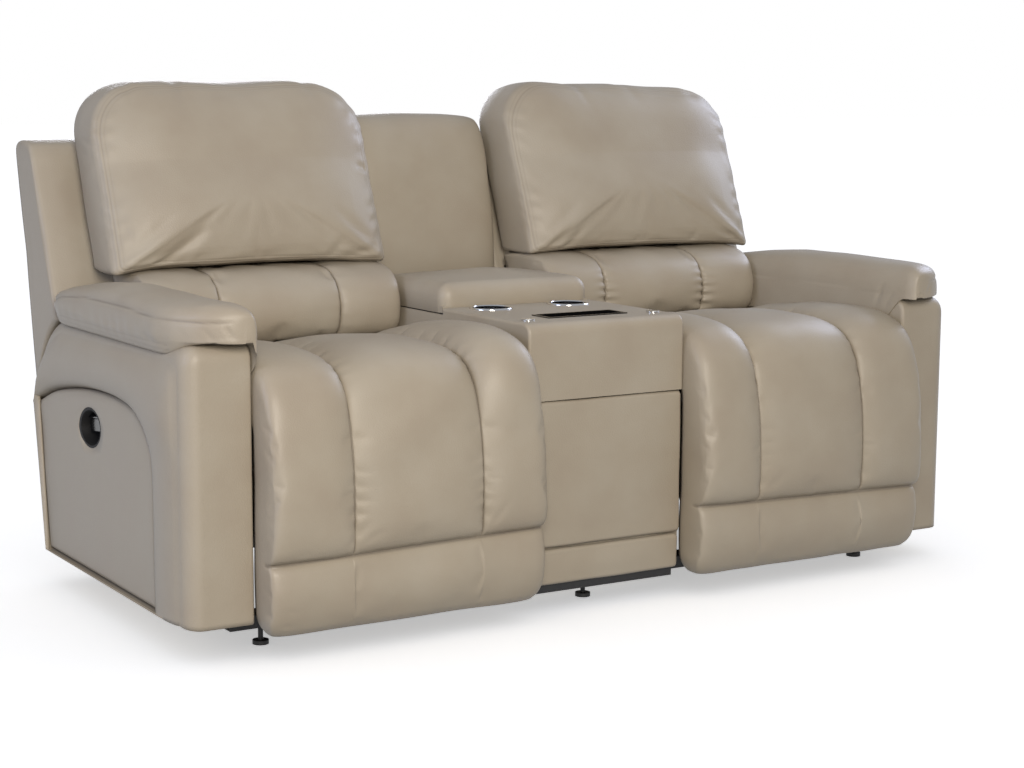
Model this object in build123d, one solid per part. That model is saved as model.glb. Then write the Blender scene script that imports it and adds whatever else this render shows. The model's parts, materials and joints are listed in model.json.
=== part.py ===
from build123d import *
from math import atan, cos, radians, sin
import os

os.makedirs("parts", exist_ok=True)

# All sizes in millimetres. y runs back from the arm fronts, z up from the floor,
# x out from the centre line; everything is moved to mid depth when it is saved.
mid_depth = 442.0

# Arms
arm_outer = 920.0
arm_width = 128.0
arm_floor = 64.0
arm_front_round = 26.0
arm_padding = 16.0
arm_board = 18.0
arm_lining = 8.0
arm_pad_nose = 36.0
arm_pad_rear = 720.0
arm_pad_rise = 84.0
arm_pad_fall = 39.0
arm_pad_lip = 13.0
arm_pad_over = 25.0
arm_pad_roll = 28.0
arm_pad_waist = 21.0
arm_pad_shoulder = 7.0
pad_corner_out = 112.0
pad_corner_in = 26.0
pad_corner_top = 50.0
pad_corner_low = 24.0
pad_tip_out = 102.0
pad_tip_in = 24.0
pad_tip_drop = 32.0
pad_tip_lift = 26.0

# Arched panel on the outside of the arm
arch_front = 161.0
arch_rise = 300.0
arch_bend_y = 200.0
arch_bend_z = 413.0
arch_shoulder_y = 290.0
arch_crest_y = 560.0
arch_top = 450.0
arch_tail = 388.0
panel_gap = 1.5

# Recline pivot, and the arm corner that is rounded about it
recline_y = 640.0
recline_z = 380.0
arm_round = 205.0
wing_clearance = 4.0
rear_lean = 0.2035

# Leg-rest pivot, and the seat nose that is rounded about it
hinge_y = 58.0
hinge_z = 470.0
nose_round = 120.0
nose_clearance = 3.0

# Seat
seat_gap = 4.0
seat_over_hinge = 16.0
seat_rear_y = 560.0
seat_rear_rise = 22.0
seat_crest_y = 300.0
seat_crest_rise = 95.0
first_channel = 148.0
middle_channel = 280.0
seam_draw = 11.0
nose_lip = 449.0
nose_back = 35.0
deck_front = 100.0
deck_rear = 600.0
deck_thick = 20.0
window_rib = 44.0

# Leg-rest pad, measured forward of the board and up from the floor
legrest_floor = 46.0
foot_front = 48.0
foot_bow = 74.0
foot_bow_z = 120.0
pad_valley = 66.0
pad_seam = 190.0
legrest_bow = 88.0
legrest_bow_z = 320.0
legrest_lip = 78.0
flange_foot = 165.0
flange_top = 345.0

# Back
back_front_y = 693.0
back_front_z = 573.0
back_slope = 0.38
back_frame_thick = 30.0
back_top = 932.0
frame_foot = 425.0
bracket_foot = 385.0
bracket_top = 640.0
shell_gap = 5.0
shell_inset = 2.0
shell_top = 946.0
shell_foot = 415.0
pillow_gap = 1.0
pillow_over = 35.0
pillow_foot = 676.0
pillow_top = 1071.0
pillow_depth = 150.0
pillow_crown = 32.0
pillow_roll = 45.0
pillow_corner = 118.0
lumbar_first = 152.0
lumbar_middle = 284.0
lumbar_foot = 515.0
lumbar_top = 668.0
lumbar_foot_y = 522.0
lumbar_foot_z = 528.0
lumbar_bow_y = 514.0
lumbar_bow_z = 602.0
lumbar_head_y = 572.0
lumbar_head_z = 672.0

# Console
console_half = 190.0
console_wall = 15.0
console_rear = 672.0
console_top = 580.0
deck_skin = 14.0
partition_y = 350.0
cup_inset = 92.0
cup_y = 300.0
cup_radius = 40.0
cup_depth = 62.0
cup_wall = 2.0
tray_inset = 92.0
tray_front = 72.0
tray_rear = 140.0
port_inset = 36.0
port_y = 62.0
port_radius = 10.5
lid_front = 352.0
lid_rear = 640.0
lid_rise = 72.0
lid_hinge_y = 648.0
lid_hinge_rise = 6.0
console_seam = 131.5
console_skirt = 57.0
upper_front = 437.0
bin_floor = 300.0
console_back_inset = 14.0
console_back_top = 998.0
console_back_rise = 24.0
console_back_front = 722.0
console_back_bow_y = 738.0
console_back_bow_z = 790.0
console_back_head = 778.0
console_post_top = 965.0
console_cover_top = 985.0
post_front = 60.0
cover_thick = 20.0

# Base and mechanism
rail_floor = 38.0
rail_depth = 50.0
rail_front_y = 60.0
rail_rear_y = 690.0
rail_lap = 25.0
rail_wall = 3.0
glide_inset = 74.0
glide_radius = 16.0
glide_foot = 8.0
glide_stem = 5.0
plate_thick = 5.0
plate_inset = 9.0
run_fit = 0.05
side_gap = 3.0
hinge_shaft = 7.0
drive_tube = 11.0
drive_journal = 8.0
recline_shaft = 9.0
link_pin = 5.0
open_pin_gap = 1.5
crank_reach_y = -20.0
crank_reach_z = -150.0
drive_back = 150.0
drive_drop = 20.0
board_thick = 12.0
board_foot = 80.0
board_drop = 115.0

# Release handle in the arm
oval_y = 503.0
oval_z = 375.0
oval_half_long = 57.0
oval_half_high = 36.5
oval_tilt = -6.0
oval_wall = 3.0
oval_depth = 44.0
paddle_pin = 2.5
paddle_pin_up = 20.0

# Derived positions
rear_angle = atan(rear_lean)
arm_inner = arm_outer - arm_width
arm_top = recline_z + arm_round
seat_inner = console_half + seat_gap
seat_outer = arm_inner - seat_gap
seat_mid = (console_half + arm_inner) / 2
seat_under = hinge_z + seat_over_hinge
seat_rear_z = seat_under + seat_rear_rise
seat_crest_z = seat_under + seat_crest_rise
cup_x = console_half - cup_inset
tray_half = console_half - tray_inset
port_x = console_half - port_inset
lid_top = console_top + lid_rise
lid_hinge_z = console_top + lid_hinge_rise
console_back_foot = console_top + console_back_rise
plate_inner = console_half + plate_inset
pillow_inner = console_half + pillow_gap
pillow_outer = arm_inner + pillow_over
console_back_half = console_half - console_back_inset
shell_inner = console_back_half + shell_gap
shell_outer = arm_outer - shell_inset
rail_half = arm_inner + rail_lap
rail_top = arm_floor
glide_x = rail_half - glide_inset
drive_y = hinge_y + drive_back
drive_z = hinge_z - drive_drop
seat_seams = (seat_inner + first_channel, seat_inner + first_channel + middle_channel)
lumbar_seams = (seat_inner + lumbar_first, seat_inner + lumbar_first + lumbar_middle)
far = 2 * arm_outer


def rear_plane(z, sweep=arm_round):
    return recline_y + sweep / cos(rear_angle) + rear_lean * (z - recline_z)


def frame_front(z):
    return back_front_y + back_slope * (z - back_front_z)


def block(x0, x1, y0, y1, z0, z1):
    return Pos((x0 + x1) / 2, (y0 + y1) / 2, (z0 + z1) / 2) * Box(x1 - x0, y1 - y0, z1 - z0)


def side_face(edges, x):
    return Plane.YZ.offset(x) * make_face(edges)


def side_slab(edges, x0, x1):
    return extrude(side_face(edges, x0), amount=x1 - x0, dir=(1, 0, 0))


def side_outline(*points):
    return Polyline(*points, close=True).edges()


def rod(x0, x1, y, z, radius):
    return side_slab([Pos(y, z) * CenterArc((0, 0), radius, 0, 360)], x0, x1)


# A flat bar with round ends
def link(x0, x1, a, b, eye):
    dy, dz = b[0] - a[0], b[1] - a[1]
    reach = (dy * dy + dz * dz) ** 0.5
    ey, ez = dy / reach * eye, dz / reach * eye
    a1, a2 = (a[0] - ez, a[1] + ey), (a[0] + ez, a[1] - ey)
    b1, b2 = (b[0] - ez, b[1] + ey), (b[0] + ez, b[1] - ey)
    edges = [Line(a1, b1), ThreePointArc(b1, (b[0] + ey, b[1] + ez), b2),
             Line(b2, a2), ThreePointArc(a2, (a[0] - ey, a[1] - ez), a1)]
    return side_slab(edges, x0, x1)


# Windows cut right through a board in rows and columns, with equal ribs left between them
def windows(count_x, x0, x1, count_v, v0, v1, cut):
    wide = (x1 - x0 - (count_x + 1) * window_rib) / count_x
    high = (v1 - v0 - (count_v + 1) * window_rib) / count_v
    holes = []
    for column in range(count_x):
        for row in range(count_v):
            x = x0 + window_rib + column * (wide + window_rib)
            v = v0 + window_rib + row * (high + window_rib)
            holes.append(cut(x, x + wide, v, v + high))
    return holes


def mirrored_in_seat(shape):
    return mirror(shape, about=Plane.YZ.offset(seat_mid))


def save(name, shape):
    export_step(Pos(0, -mid_depth, 0) * shape, f"parts/{name}.step")


def save_both(name, shape):
    save(f"right_{name}", shape)
    save(f"left_{name}", mirror(shape, about=Plane.YZ))


# A channelled cushion: each channel is lofted from its side profile, drawn in at both seams
def channelled(profile, walls, draw):
    body = None
    for x0, x1 in zip(walls, walls[1:]):
        width = x1 - x0
        stations = ((0.0, draw), (0.2, draw * 0.22), (0.5, 0.0), (0.8, draw * 0.22), (1.0, draw))
        channel = loft([side_face(profile(inset), x0 + width * t) for t, inset in stations])
        body = channel if body is None else body + channel
    return body


# Arm: front edge, rounded front corner, flat top, corner about the recline pivot, leaning rear
def arm_outline(inset, floor):
    top = arm_top - inset
    corner = arm_front_round - inset
    sweep = arm_round - inset
    diagonal = sin(radians(45))
    rear_end = (recline_y + sweep * cos(rear_angle), recline_z - sweep * sin(rear_angle))
    rear_foot = (rear_plane(floor, sweep), floor)
    return [
        Line((inset, floor), (inset, top - corner)),
        ThreePointArc((inset, top - corner),
                      (inset + corner * (1 - diagonal), top - corner * (1 - diagonal)),
                      (inset + corner, top)),
        Line((inset + corner, top), (recline_y, top)),
        ThreePointArc((recline_y, top),
                      (recline_y + sweep * diagonal, recline_z + sweep * diagonal),
                      rear_end),
        Line(rear_end, rear_foot),
        Line(rear_foot, (inset, floor)),
    ]


# Plywood box inside the arm: the same outline one padding in, sawn straight round the rear corner
def box_outline(floor):
    top = arm_top - arm_padding
    sweep = arm_round - arm_padding
    bend = (recline_y + sweep * sin(radians(40)), recline_z + sweep * cos(radians(40)))
    return side_outline((arm_padding, floor), (arm_padding, top), (recline_y, top), bend,
                        (rear_plane(recline_z, sweep), recline_z), (rear_plane(floor, sweep), floor))


# Arched panel on the outside of the arm
def arch_outline(inset):
    front = arch_front + inset
    shoulder = (arch_shoulder_y, arch_top - inset)
    tail_z = arch_tail - inset
    floor = arm_floor + inset
    return [
        Line((front, floor), (front, arch_rise)),
        ThreePointArc((front, arch_rise), (arch_bend_y + inset * 0.7, arch_bend_z - inset * 0.7), shoulder),
        ThreePointArc(shoulder, (arch_crest_y, arch_top - inset), (rear_plane(tail_z) - inset, tail_z)),
        Line((rear_plane(tail_z) - inset, tail_z), (rear_plane(floor) - inset, floor)),
        Line((rear_plane(floor) - inset, floor), (front, floor)),
    ]


def oval(grow, x0, x1):
    shape = Rot(0, 0, oval_tilt) * Ellipse(oval_half_long + grow, oval_half_high + grow)
    shape = Pos(oval_y, oval_z) * shape
    return extrude(Plane.YZ.offset(x0) * shape, amount=x1 - x0, dir=(1, 0, 0))


panel_seat_x = arm_outer - 10.0
panel_face_x = arm_outer + 2.0
oval_back_x = panel_face_x + 3.0 - oval_depth
oval_hole = oval(oval_wall + 1.0, oval_back_x - 4.0, arm_outer + 20.0)

arm_body = side_slab(arm_outline(0, arm_floor), arm_inner, arm_outer)
arm_body = fillet(arm_body.edges().filter_by(Axis.Y).group_by(Axis.Z)[-1], 14.0)
arm_box_x0 = arm_inner + arm_lining
arm_box_x1 = arm_outer - arm_padding
arm_body = arm_body - side_slab(box_outline(arm_floor - 1.0), arm_box_x0, arm_box_x1)
arm_body = arm_body - side_slab(arch_outline(0), panel_seat_x, arm_outer + 20.0) - oval_hole
save_both("arm_cover", arm_body)

arm_box = side_slab(box_outline(arm_floor), arm_box_x0, arm_box_x1)
hollow = block(arm_box_x0 + arm_board, arm_box_x1 - arm_board, arm_padding + arm_board,
               recline_y + 50.0, 0.0, arm_top - arm_padding - 2 * arm_board)
save_both("arm_box", arm_box - hollow - oval_hole)

panel = side_slab(arch_outline(panel_gap), panel_seat_x, panel_face_x)
panel = panel & side_slab(arm_outline(panel_gap, arm_floor), panel_seat_x, panel_face_x)
panel = fillet(panel.faces().sort_by(Axis.X)[-1].edges(), 4.0)
save_both("arm_side_panel", panel - oval_hole)


# Arm pad: a pillow that overhangs the outside of the arm with a lip
def pad_section(y, top, lip, draw_out, draw_in, lift):
    inner_x = arm_inner - 1.0
    outer_x = arm_outer + arm_pad_over
    mid_x = (inner_x + outer_x) / 2
    lip_x = arm_outer + 1.5
    lip_z = arm_top - lip
    bow = arm_pad_roll * 0.25
    under = (lip_z + arm_top + arm_pad_waist) / 2 - arm_pad_waist * 0.28

    def at(x, z):
        share = (x - inner_x) / (outer_x - inner_x)
        return x + draw_in * (1 - share) - draw_out * share, z + lift * (top - z) / (top - lip_z)

    edges = [
        Line(at(inner_x + bow, arm_top), at(lip_x, arm_top)),
        Line(at(lip_x, arm_top), at(lip_x, lip_z)),
        ThreePointArc(at(lip_x, lip_z), at(outer_x - bow, under), at(outer_x, arm_top + arm_pad_waist)),
        ThreePointArc(at(outer_x, arm_top + arm_pad_waist), at(outer_x - bow, top - arm_pad_waist),
                      at(outer_x - arm_pad_roll, top - arm_pad_shoulder)),
        ThreePointArc(at(outer_x - arm_pad_roll, top - arm_pad_shoulder), at(mid_x, top),
                      at(inner_x + arm_pad_roll, top - arm_pad_shoulder)),
        ThreePointArc(at(inner_x + arm_pad_roll, top - arm_pad_shoulder),
                      at(inner_x + bow, top - arm_pad_waist), at(inner_x, arm_top + arm_pad_waist)),
        Line(at(inner_x, arm_top + arm_pad_waist), at(inner_x + bow, arm_top)),
    ]
    return Plane((0, y, 0), x_dir=(1, 0, 0), z_dir=(0, -1, 0)) * make_face(edges)


# What is left of a rounded end at a run back from its tip, from one at the tip to nothing
def end_left(run, length):
    return 1 - (1 - (1 - min(run / length, 1.0)) ** 2) ** 0.5


pad_top = arm_top + arm_pad_rise
nose_runs = [pad_corner_out * share for share in (0.0, 0.03, 0.1, 0.23, 0.5, 1.0)]
pad_nose = [pad_section(run - arm_pad_nose, pad_top - pad_tip_drop * end_left(run, pad_corner_top), -1.0,
                        pad_tip_out * end_left(run, pad_corner_out),
                        pad_tip_in * end_left(run, pad_corner_in),
                        pad_tip_lift * end_left(run, pad_corner_low)) for run in nose_runs]
body_front = pad_corner_out - arm_pad_nose
body_run = (arm_pad_rear - body_front) / 3
pad_body = [pad_section(body_front + body_run * step, pad_top - arm_pad_fall * fall, arm_pad_lip, 0, 0, 0)
            for step, fall in ((0, 0.0), (1, 0.12), (2, 0.4), (3, 1.0))]
save_both("arm_pad", loft(pad_nose, ruled=True) + loft(pad_body))

# Finger cup and its paddle
cup = oval(oval_wall, oval_back_x, panel_face_x + 1.0)
cup = cup + oval(oval_wall + 9.0, panel_face_x, panel_face_x + 3.0)
cup = cup - oval(0, oval_back_x + oval_wall, panel_face_x + 20.0)
paddle_frame = Plane.YZ.offset(panel_face_x - 14.0) * Pos(oval_y, oval_z) * Rot(0, 0, oval_tilt)
pin_line = paddle_frame * Pos(0, paddle_pin_up) * Rot(0, 90, 0)
save_both("finger_cup", cup - pin_line * Cylinder(paddle_pin + run_fit, 140))
paddle = paddle_frame * Pos(0, paddle_pin_up - 12.5) * Box(80, 31, 5)
paddle = fillet(paddle.edges().filter_by(lambda e: abs(e.length - 5) < 0.01), 3.0)
paddle = paddle + pin_line * Cylinder(4.5, 80) + pin_line * Cylinder(paddle_pin, 98)
save_both("release_paddle", paddle)


# Seat cushion: flat underside, lip behind the nose, nose about the leg-rest pivot, crowned top
def seat_profile(inset):
    nose = nose_round - inset
    front = hinge_y - (nose ** 2 - (nose_lip - hinge_z) ** 2) ** 0.5
    up = sin(radians(35))
    out = cos(radians(35))
    top = (hinge_y, hinge_z + nose)
    rear = (seat_rear_y, seat_rear_z - inset * 0.5)
    return [
        Line((rear[0], seat_under), (nose_back, seat_under)),
        Line((nose_back, seat_under), (nose_back, nose_lip)),
        Line((nose_back, nose_lip), (front, nose_lip)),
        ThreePointArc((front, nose_lip), (hinge_y - nose * out, hinge_z + nose * up), top),
        ThreePointArc(top, (seat_crest_y, seat_crest_z - inset), rear),
        Line(rear, (rear[0], seat_under)),
    ]


seat = channelled(seat_profile, (seat_inner,) + seat_seams + (seat_outer,), seam_draw)
link_room = 38.0
for x in (seat_inner - 1, seat_outer - link_room + 1):
    seat = seat - block(x, x + link_room, -far, nose_back + 1, nose_lip - 5, seat_under)
save_both("seat_cushion", seat)

plate_x1 = plate_inner + plate_thick
deck_x1 = 2 * seat_mid - plate_x1
deck = block(plate_x1, deck_x1, deck_front, deck_rear, seat_under - deck_thick, seat_under)
for hole in windows(3, plate_x1, deck_x1, 3, deck_front, deck_rear,
                    lambda x0, x1, y0, y1: block(x0, x1, y0, y1, 0, far)):
    deck = deck - hole
save_both("seat_deck", deck)

# Side plates that stand on the rails and carry all three shafts of the mechanism
plate_front = rail_front_y + 2
plate_rear = rail_rear_y + rail_depth - 2
plate_sill = arm_floor + 50
plate_edge = side_outline((plate_front, arm_floor), (plate_rear, arm_floor), (plate_rear, arm_floor + 36),
                          (recline_y + 42, recline_z - 18), (recline_y + 24, recline_z + 32),
                          (recline_y - 40, recline_z + 40), (drive_y + 28, drive_z + 28),
                          (hinge_y + 14, hinge_z + 14), (hinge_y - 14, hinge_z + 10),
                          (hinge_y - 18, hinge_z - 15), (plate_front, arm_floor + 56))
plate = side_slab(plate_edge, plate_inner, plate_x1)
plate = plate - rod(0, far, hinge_y, hinge_z, hinge_shaft + run_fit)
plate = plate - rod(0, far, drive_y, drive_z, drive_journal + run_fit)
plate = plate - rod(0, far, recline_y, recline_z, recline_shaft + run_fit)
plate = plate - side_slab(side_outline((plate_front + 53, plate_sill), (drive_y + 100, plate_sill),
                                       (drive_y + 100, drive_z - 60), (plate_front + 63, drive_z - 80)),
                           0, far)
plate = plate - side_slab(side_outline((drive_y + 145, plate_sill), (recline_y + 20, plate_sill),
                                       (recline_y - 30, recline_z - 60), (drive_y + 145, drive_z - 60)),
                           0, far)
save_both("mechanism_plates", Compound(children=[plate, mirrored_in_seat(plate)]))

# Leg-rest carrier: hinge shaft, gooseneck arms, board flanges and the pins for the push rods
arm_x0 = plate_x1 + side_gap
arm_x1 = arm_x0 + plate_thick
rod_x0 = arm_x1 + 1.5
rod_x1 = rod_x0 + 4.0
crank_x0 = rod_x1 + 1.5
crank_x1 = crank_x0 + plate_thick
link_y = hinge_y + crank_reach_y
link_z = hinge_z + crank_reach_z
goose = rod(arm_x0, arm_x1, hinge_y, hinge_z, 14.0)
goose_edge = side_outline((hinge_y - 11, hinge_z), (hinge_y + 11, hinge_z), (hinge_y + 11, link_z - 10),
                          (board_thick + 22, flange_foot + 40), (board_thick + 4, flange_foot),
                          (board_thick, flange_foot), (board_thick, flange_top),
                          (hinge_y - 11, flange_top + 5))
goose = goose + side_slab(goose_edge, arm_x0, arm_x1)
goose = goose + block(arm_x0, arm_x0 + 30, board_thick, board_thick + 4, flange_foot, flange_top)
goose = goose + rod(arm_x1 - 1, crank_x0 - 0.8, link_y, link_z, link_pin)
carrier = goose + mirrored_in_seat(goose)
carrier = carrier + rod(plate_inner - 2, 2 * seat_mid - plate_inner + 2, hinge_y, hinge_z, hinge_shaft)
save_both("legrest_carrier", carrier)

legrest_board = block(arm_x0, 2 * seat_mid - arm_x0, 0, board_thick, board_foot, hinge_z - board_drop)
legrest_board = fillet(legrest_board.edges().filter_by(Axis.Y), 12.0)
save_both("legrest_board", legrest_board)


# Leg-rest channel: straight back on the board, hollow top about the pivot, bowed front
def legrest_profile(inset):
    hollow = nose_round + nose_clearance
    back_top = hinge_z - (hollow ** 2 - hinge_y ** 2) ** 0.5
    tip = (hinge_y - hollow * cos(radians(12)), hinge_z - hollow * sin(radians(12)))
    hip = (hinge_y - hollow * cos(radians(38)), hinge_z - hollow * sin(radians(38)))
    lip = (inset - legrest_lip, tip[1] - 2)
    valley = (inset * 0.4 - pad_valley, pad_seam)
    return [
        Line((0, pad_seam), (0, back_top)),
        ThreePointArc((0, back_top), hip, tip),
        Line(tip, lip),
        ThreePointArc(lip, (inset - legrest_bow, legrest_bow_z), valley),
        Line(valley, (0, pad_seam)),
    ]


def legrest_foot(inset):
    foot = legrest_floor + inset * 0.5
    valley = (inset - pad_valley, pad_seam)
    toe = (inset - foot_front, foot)
    return [
        Line((0, foot), (0, pad_seam)),
        Line((0, pad_seam), valley),
        ThreePointArc(valley, (inset - foot_bow, foot_bow_z), toe),
        Line(toe, (0, foot)),
    ]


legrest_walls = (seat_inner,) + seat_seams + (seat_outer,)
legrest_pad = channelled(legrest_profile, legrest_walls, seam_draw)
save_both("legrest_pad", legrest_pad + channelled(legrest_foot, (seat_inner, seat_outer), seam_draw))

# Drive tube with its cranks, and the push rods that tie them to the leg rest
crank_y = drive_y + crank_reach_y
crank_z = drive_z + crank_reach_z
crank = link(crank_x0, crank_x1, (drive_y, drive_z), (crank_y, crank_z), 12)
crank = crank + rod(rod_x0 - 0.7, crank_x0 + 1, crank_y, crank_z, link_pin)
tube = rod(plate_x1 + 1, 2 * seat_mid - plate_x1 - 1, drive_y, drive_z, drive_tube)
tube = tube + rod(plate_inner - 2, 2 * seat_mid - plate_inner + 2, drive_y, drive_z, drive_journal)
save_both("drive_tube", tube + crank + mirrored_in_seat(crank))

push_rod = link(rod_x0, rod_x1, (crank_y, crank_z), (link_y, link_z), 11)
push_rod = push_rod - rod(rod_x0 - 1, rod_x1 + 1, crank_y, crank_z, link_pin + run_fit)
push_rod = push_rod - rod(rod_x0 - 1, rod_x1 + 1, link_y, link_z, link_pin + open_pin_gap)
save_both("push_rods", Compound(children=[push_rod, mirrored_in_seat(push_rod)]))

# Back carrier: recline shaft with a bracket up each side of the back frame
bracket_x0 = plate_x1 + side_gap
bracket_x1 = bracket_x0 + 6.0
bracket_wide = back_frame_thick - 2
foot_y = frame_front(bracket_foot) + 1
head_y = frame_front(bracket_top) + 1
bracket = rod(bracket_x0, bracket_x1, recline_y, recline_z, 24)
bracket = bracket + side_slab(side_outline((foot_y, bracket_foot), (head_y, bracket_top),
                                           (head_y + bracket_wide, bracket_top),
                                           (foot_y + bracket_wide, bracket_foot)), bracket_x0, bracket_x1)
back_carrier = bracket + mirrored_in_seat(bracket)
back_carrier = back_carrier + rod(plate_inner - 3, 2 * seat_mid - plate_inner + 3,
                                  recline_y, recline_z, recline_shaft)
save_both("back_carrier", back_carrier)

frame_x1 = 2 * seat_mid - bracket_x1
back_frame = side_slab(side_outline((frame_front(frame_foot), frame_foot), (frame_front(back_top), back_top),
                                    (frame_front(back_top) + back_frame_thick, back_top),
                                    (frame_front(frame_foot) + back_frame_thick, frame_foot)),
                       bracket_x1, frame_x1)
for hole in windows(3, bracket_x1, frame_x1, 3, frame_foot, back_top,
                    lambda x0, x1, z0, z1: block(x0, x1, 0, far, z0, z1)):
    back_frame = back_frame - hole
save_both("back_frame", back_frame)

# Outer back with its wings; the lower edge is hollowed about the recline pivot
shell = side_slab(side_outline((frame_front(shell_foot) + back_frame_thick, shell_foot),
                               (rear_plane(shell_foot), shell_foot), (rear_plane(shell_top), shell_top),
                               (frame_front(back_top) + back_frame_thick, back_top)),
                  shell_inner, shell_outer)
shell = fillet(shell.edges().filter_by(Axis.X).group_by(Axis.Z)[-1], 12.0)
shell = shell - rod(0, far, recline_y, recline_z, arm_round + wing_clearance)
save_both("back_shell", shell)


# Lumbar channel: back on the frame, sloping top and underside, bowed front
def lumbar_profile(inset):
    foot_back = (frame_front(lumbar_foot), lumbar_foot)
    top_back = (frame_front(lumbar_top), lumbar_top)
    foot = (lumbar_foot_y + inset, lumbar_foot_z + inset * 0.3)
    head = (lumbar_head_y + inset, lumbar_head_z)
    return [
        Line(foot_back, top_back),
        Line(top_back, head),
        ThreePointArc(head, (lumbar_bow_y + inset, lumbar_bow_z), foot),
        Line(foot, foot_back),
    ]


lumbar_walls = (seat_inner + 2,) + lumbar_seams + (seat_outer - 2,)
save_both("lumbar_cushion", channelled(lumbar_profile, lumbar_walls, seam_draw + 1))


# Headrest pillow: leans with the back frame, level foot, crowned front, rolled top
def pillow_profile(inset):
    crown = pillow_crown - inset
    lead = pillow_depth + crown * 0.25
    shoulder = pillow_top - pillow_roll
    waist = (pillow_foot + shoulder) / 2
    rear_foot = (frame_front(pillow_foot), pillow_foot)
    rear_top = (frame_front(shoulder), shoulder)
    front_foot = (frame_front(pillow_foot) - lead, pillow_foot)
    front_top = (frame_front(shoulder) - lead, shoulder)
    return [
        Line(rear_foot, front_foot),
        ThreePointArc(front_foot, (frame_front(waist) - pillow_depth - crown - 6, waist), front_top),
        ThreePointArc(front_top, ((front_top[0] + rear_top[0]) / 2, pillow_top), rear_top),
        Line(rear_top, rear_foot),
    ]


# Front outline of the pillow with its two rounded upper corners
x0, x1, crest = pillow_inner - 2, pillow_outer + 2, pillow_top + 3
bend = pillow_corner * (1 - sin(radians(45)))
pillow_edges = [
    Line((x0, 0), (x1, 0)),
    Line((x1, 0), (x1, crest - pillow_corner)),
    ThreePointArc((x1, crest - pillow_corner), (x1 - bend, crest - bend), (x1 - pillow_corner, crest)),
    Line((x1 - pillow_corner, crest), (x0 + pillow_corner, crest)),
    ThreePointArc((x0 + pillow_corner, crest), (x0 + bend, crest - bend), (x0, crest - pillow_corner)),
    Line((x0, crest - pillow_corner), (x0, 0)),
]
pillow = channelled(pillow_profile, (pillow_inner, pillow_outer), pillow_crown)
pillow = pillow & extrude(Plane.XZ * make_face(pillow_edges), amount=far, dir=(0, 1, 0))
save_both("headrest_pillow", pillow)

# Console box with a front well for the cups and a rear well for the bin
box = block(-console_half, console_half, deck_skin, console_rear, arm_floor, console_top)
well_half = console_half - console_wall
box = box - block(-well_half, well_half, deck_skin + console_wall, partition_y,
                  arm_floor + console_wall, far)
box = box - block(-well_half, well_half, partition_y + console_wall, console_rear - console_wall,
                  arm_floor + console_wall, far)
save("console_box", box)

# Padded deck that rolls over into the upper front
deck_top = console_top + deck_skin
roll = 22.0
deck_side_round = 6.0
diagonal_gap = roll * (1 - sin(radians(45)))
deck_edges = [
    Line((0, upper_front), (0, deck_top - roll)),
    ThreePointArc((0, deck_top - roll), (diagonal_gap, deck_top - diagonal_gap), (roll, deck_top)),
    Line((roll, deck_top), (partition_y, deck_top)),
    Line((partition_y, deck_top), (partition_y, console_top)),
    Line((partition_y, console_top), (deck_skin, console_top)),
    Line((deck_skin, console_top), (deck_skin, upper_front)),
    Line((deck_skin, upper_front), (0, upper_front)),
]
console_deck = side_slab(deck_edges, -console_half, console_half)
deck_ends = console_deck.faces().filter_by(Axis.X).edges()
outer_edges = [edge for edge in deck_ends if edge.center().Y < 0.1 or edge.center().Z > deck_top - roll / 2]
console_deck = fillet(outer_edges, deck_side_round)
for side in (-1, 1):
    cup_hole = Cylinder(cup_radius + 3, 4 * deck_skin)
    console_deck = console_deck - Pos(side * cup_x, cup_y, deck_top) * cup_hole
    port_hole = Cylinder(port_radius + 0.5, 4 * deck_skin)
    console_deck = console_deck - Pos(side * port_x, port_y, deck_top) * port_hole
console_deck = console_deck - block(-tray_half + 3, tray_half - 3, tray_front + 3, tray_rear - 3,
                                    deck_top - 2 * deck_skin, deck_top + 2 * deck_skin)
save("console_deck", console_deck)

front_panel = block(-console_half + 2, console_half - 2, 0, deck_skin, console_seam + 1.5, upper_front - 3)
front_panel = fillet(front_panel.faces().sort_by(Axis.Y)[0].edges(), 6.0)
save("console_front_panel", front_panel)
lower_panel = block(-console_half + 6, console_half - 6, 0, deck_skin, console_skirt, console_seam - 1.5)
lower_panel = fillet(lower_panel.faces().sort_by(Axis.Y)[0].edges(), 6.0)
save("console_lower_panel", lower_panel)
save("console_plinth", block(-console_half + 12, console_half - 12, deck_skin + 2, deck_skin + 20,
                             rail_floor, arm_floor))

# Cup holders: turned tubs with a rolled rim
cup_section = [
    Polyline((0, -cup_depth), (cup_radius + cup_wall, -cup_depth), (cup_radius + cup_wall, 0),
             (cup_radius + 7, 0)),
    ThreePointArc((cup_radius + 7, 0), (cup_radius + 4, 3.4), (cup_radius, 1)),
    Polyline((cup_radius, 1), (cup_radius, cup_wall - cup_depth), (0, cup_wall - cup_depth),
             (0, -cup_depth)),
]
cup_edges = [edge for piece in cup_section for edge in piece.edges()]
cup_tub = revolve(Plane.XZ * make_face(cup_edges), axis=Axis.Z)
save("right_cup_holder", Pos(cup_x, cup_y, deck_top) * cup_tub)
save("left_cup_holder", Pos(-cup_x, cup_y, deck_top) * cup_tub)

tray = block(-tray_half + 4, tray_half - 4, tray_front + 4, tray_rear - 4, deck_top - 20, deck_top + 1)
tray = tray + block(-tray_half, tray_half, tray_front, tray_rear, deck_top, deck_top + 2)
tray = tray - block(-tray_half + 6, tray_half - 6, tray_front + 6, tray_rear - 6,
                    deck_top - 18, deck_top + 9)
save("console_tray", fillet(tray.edges().filter_by(Axis.Z), 3.0))

port = Pos(0, 0, deck_top + 2) * Cylinder(port_radius + 3, 4)
port = port + Pos(0, 0, deck_top - 7) * Cylinder(port_radius, 14)
save("accessory_ports", Compound(children=[Pos(side * port_x, port_y, 0) * port for side in (-1, 1)]))

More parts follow.
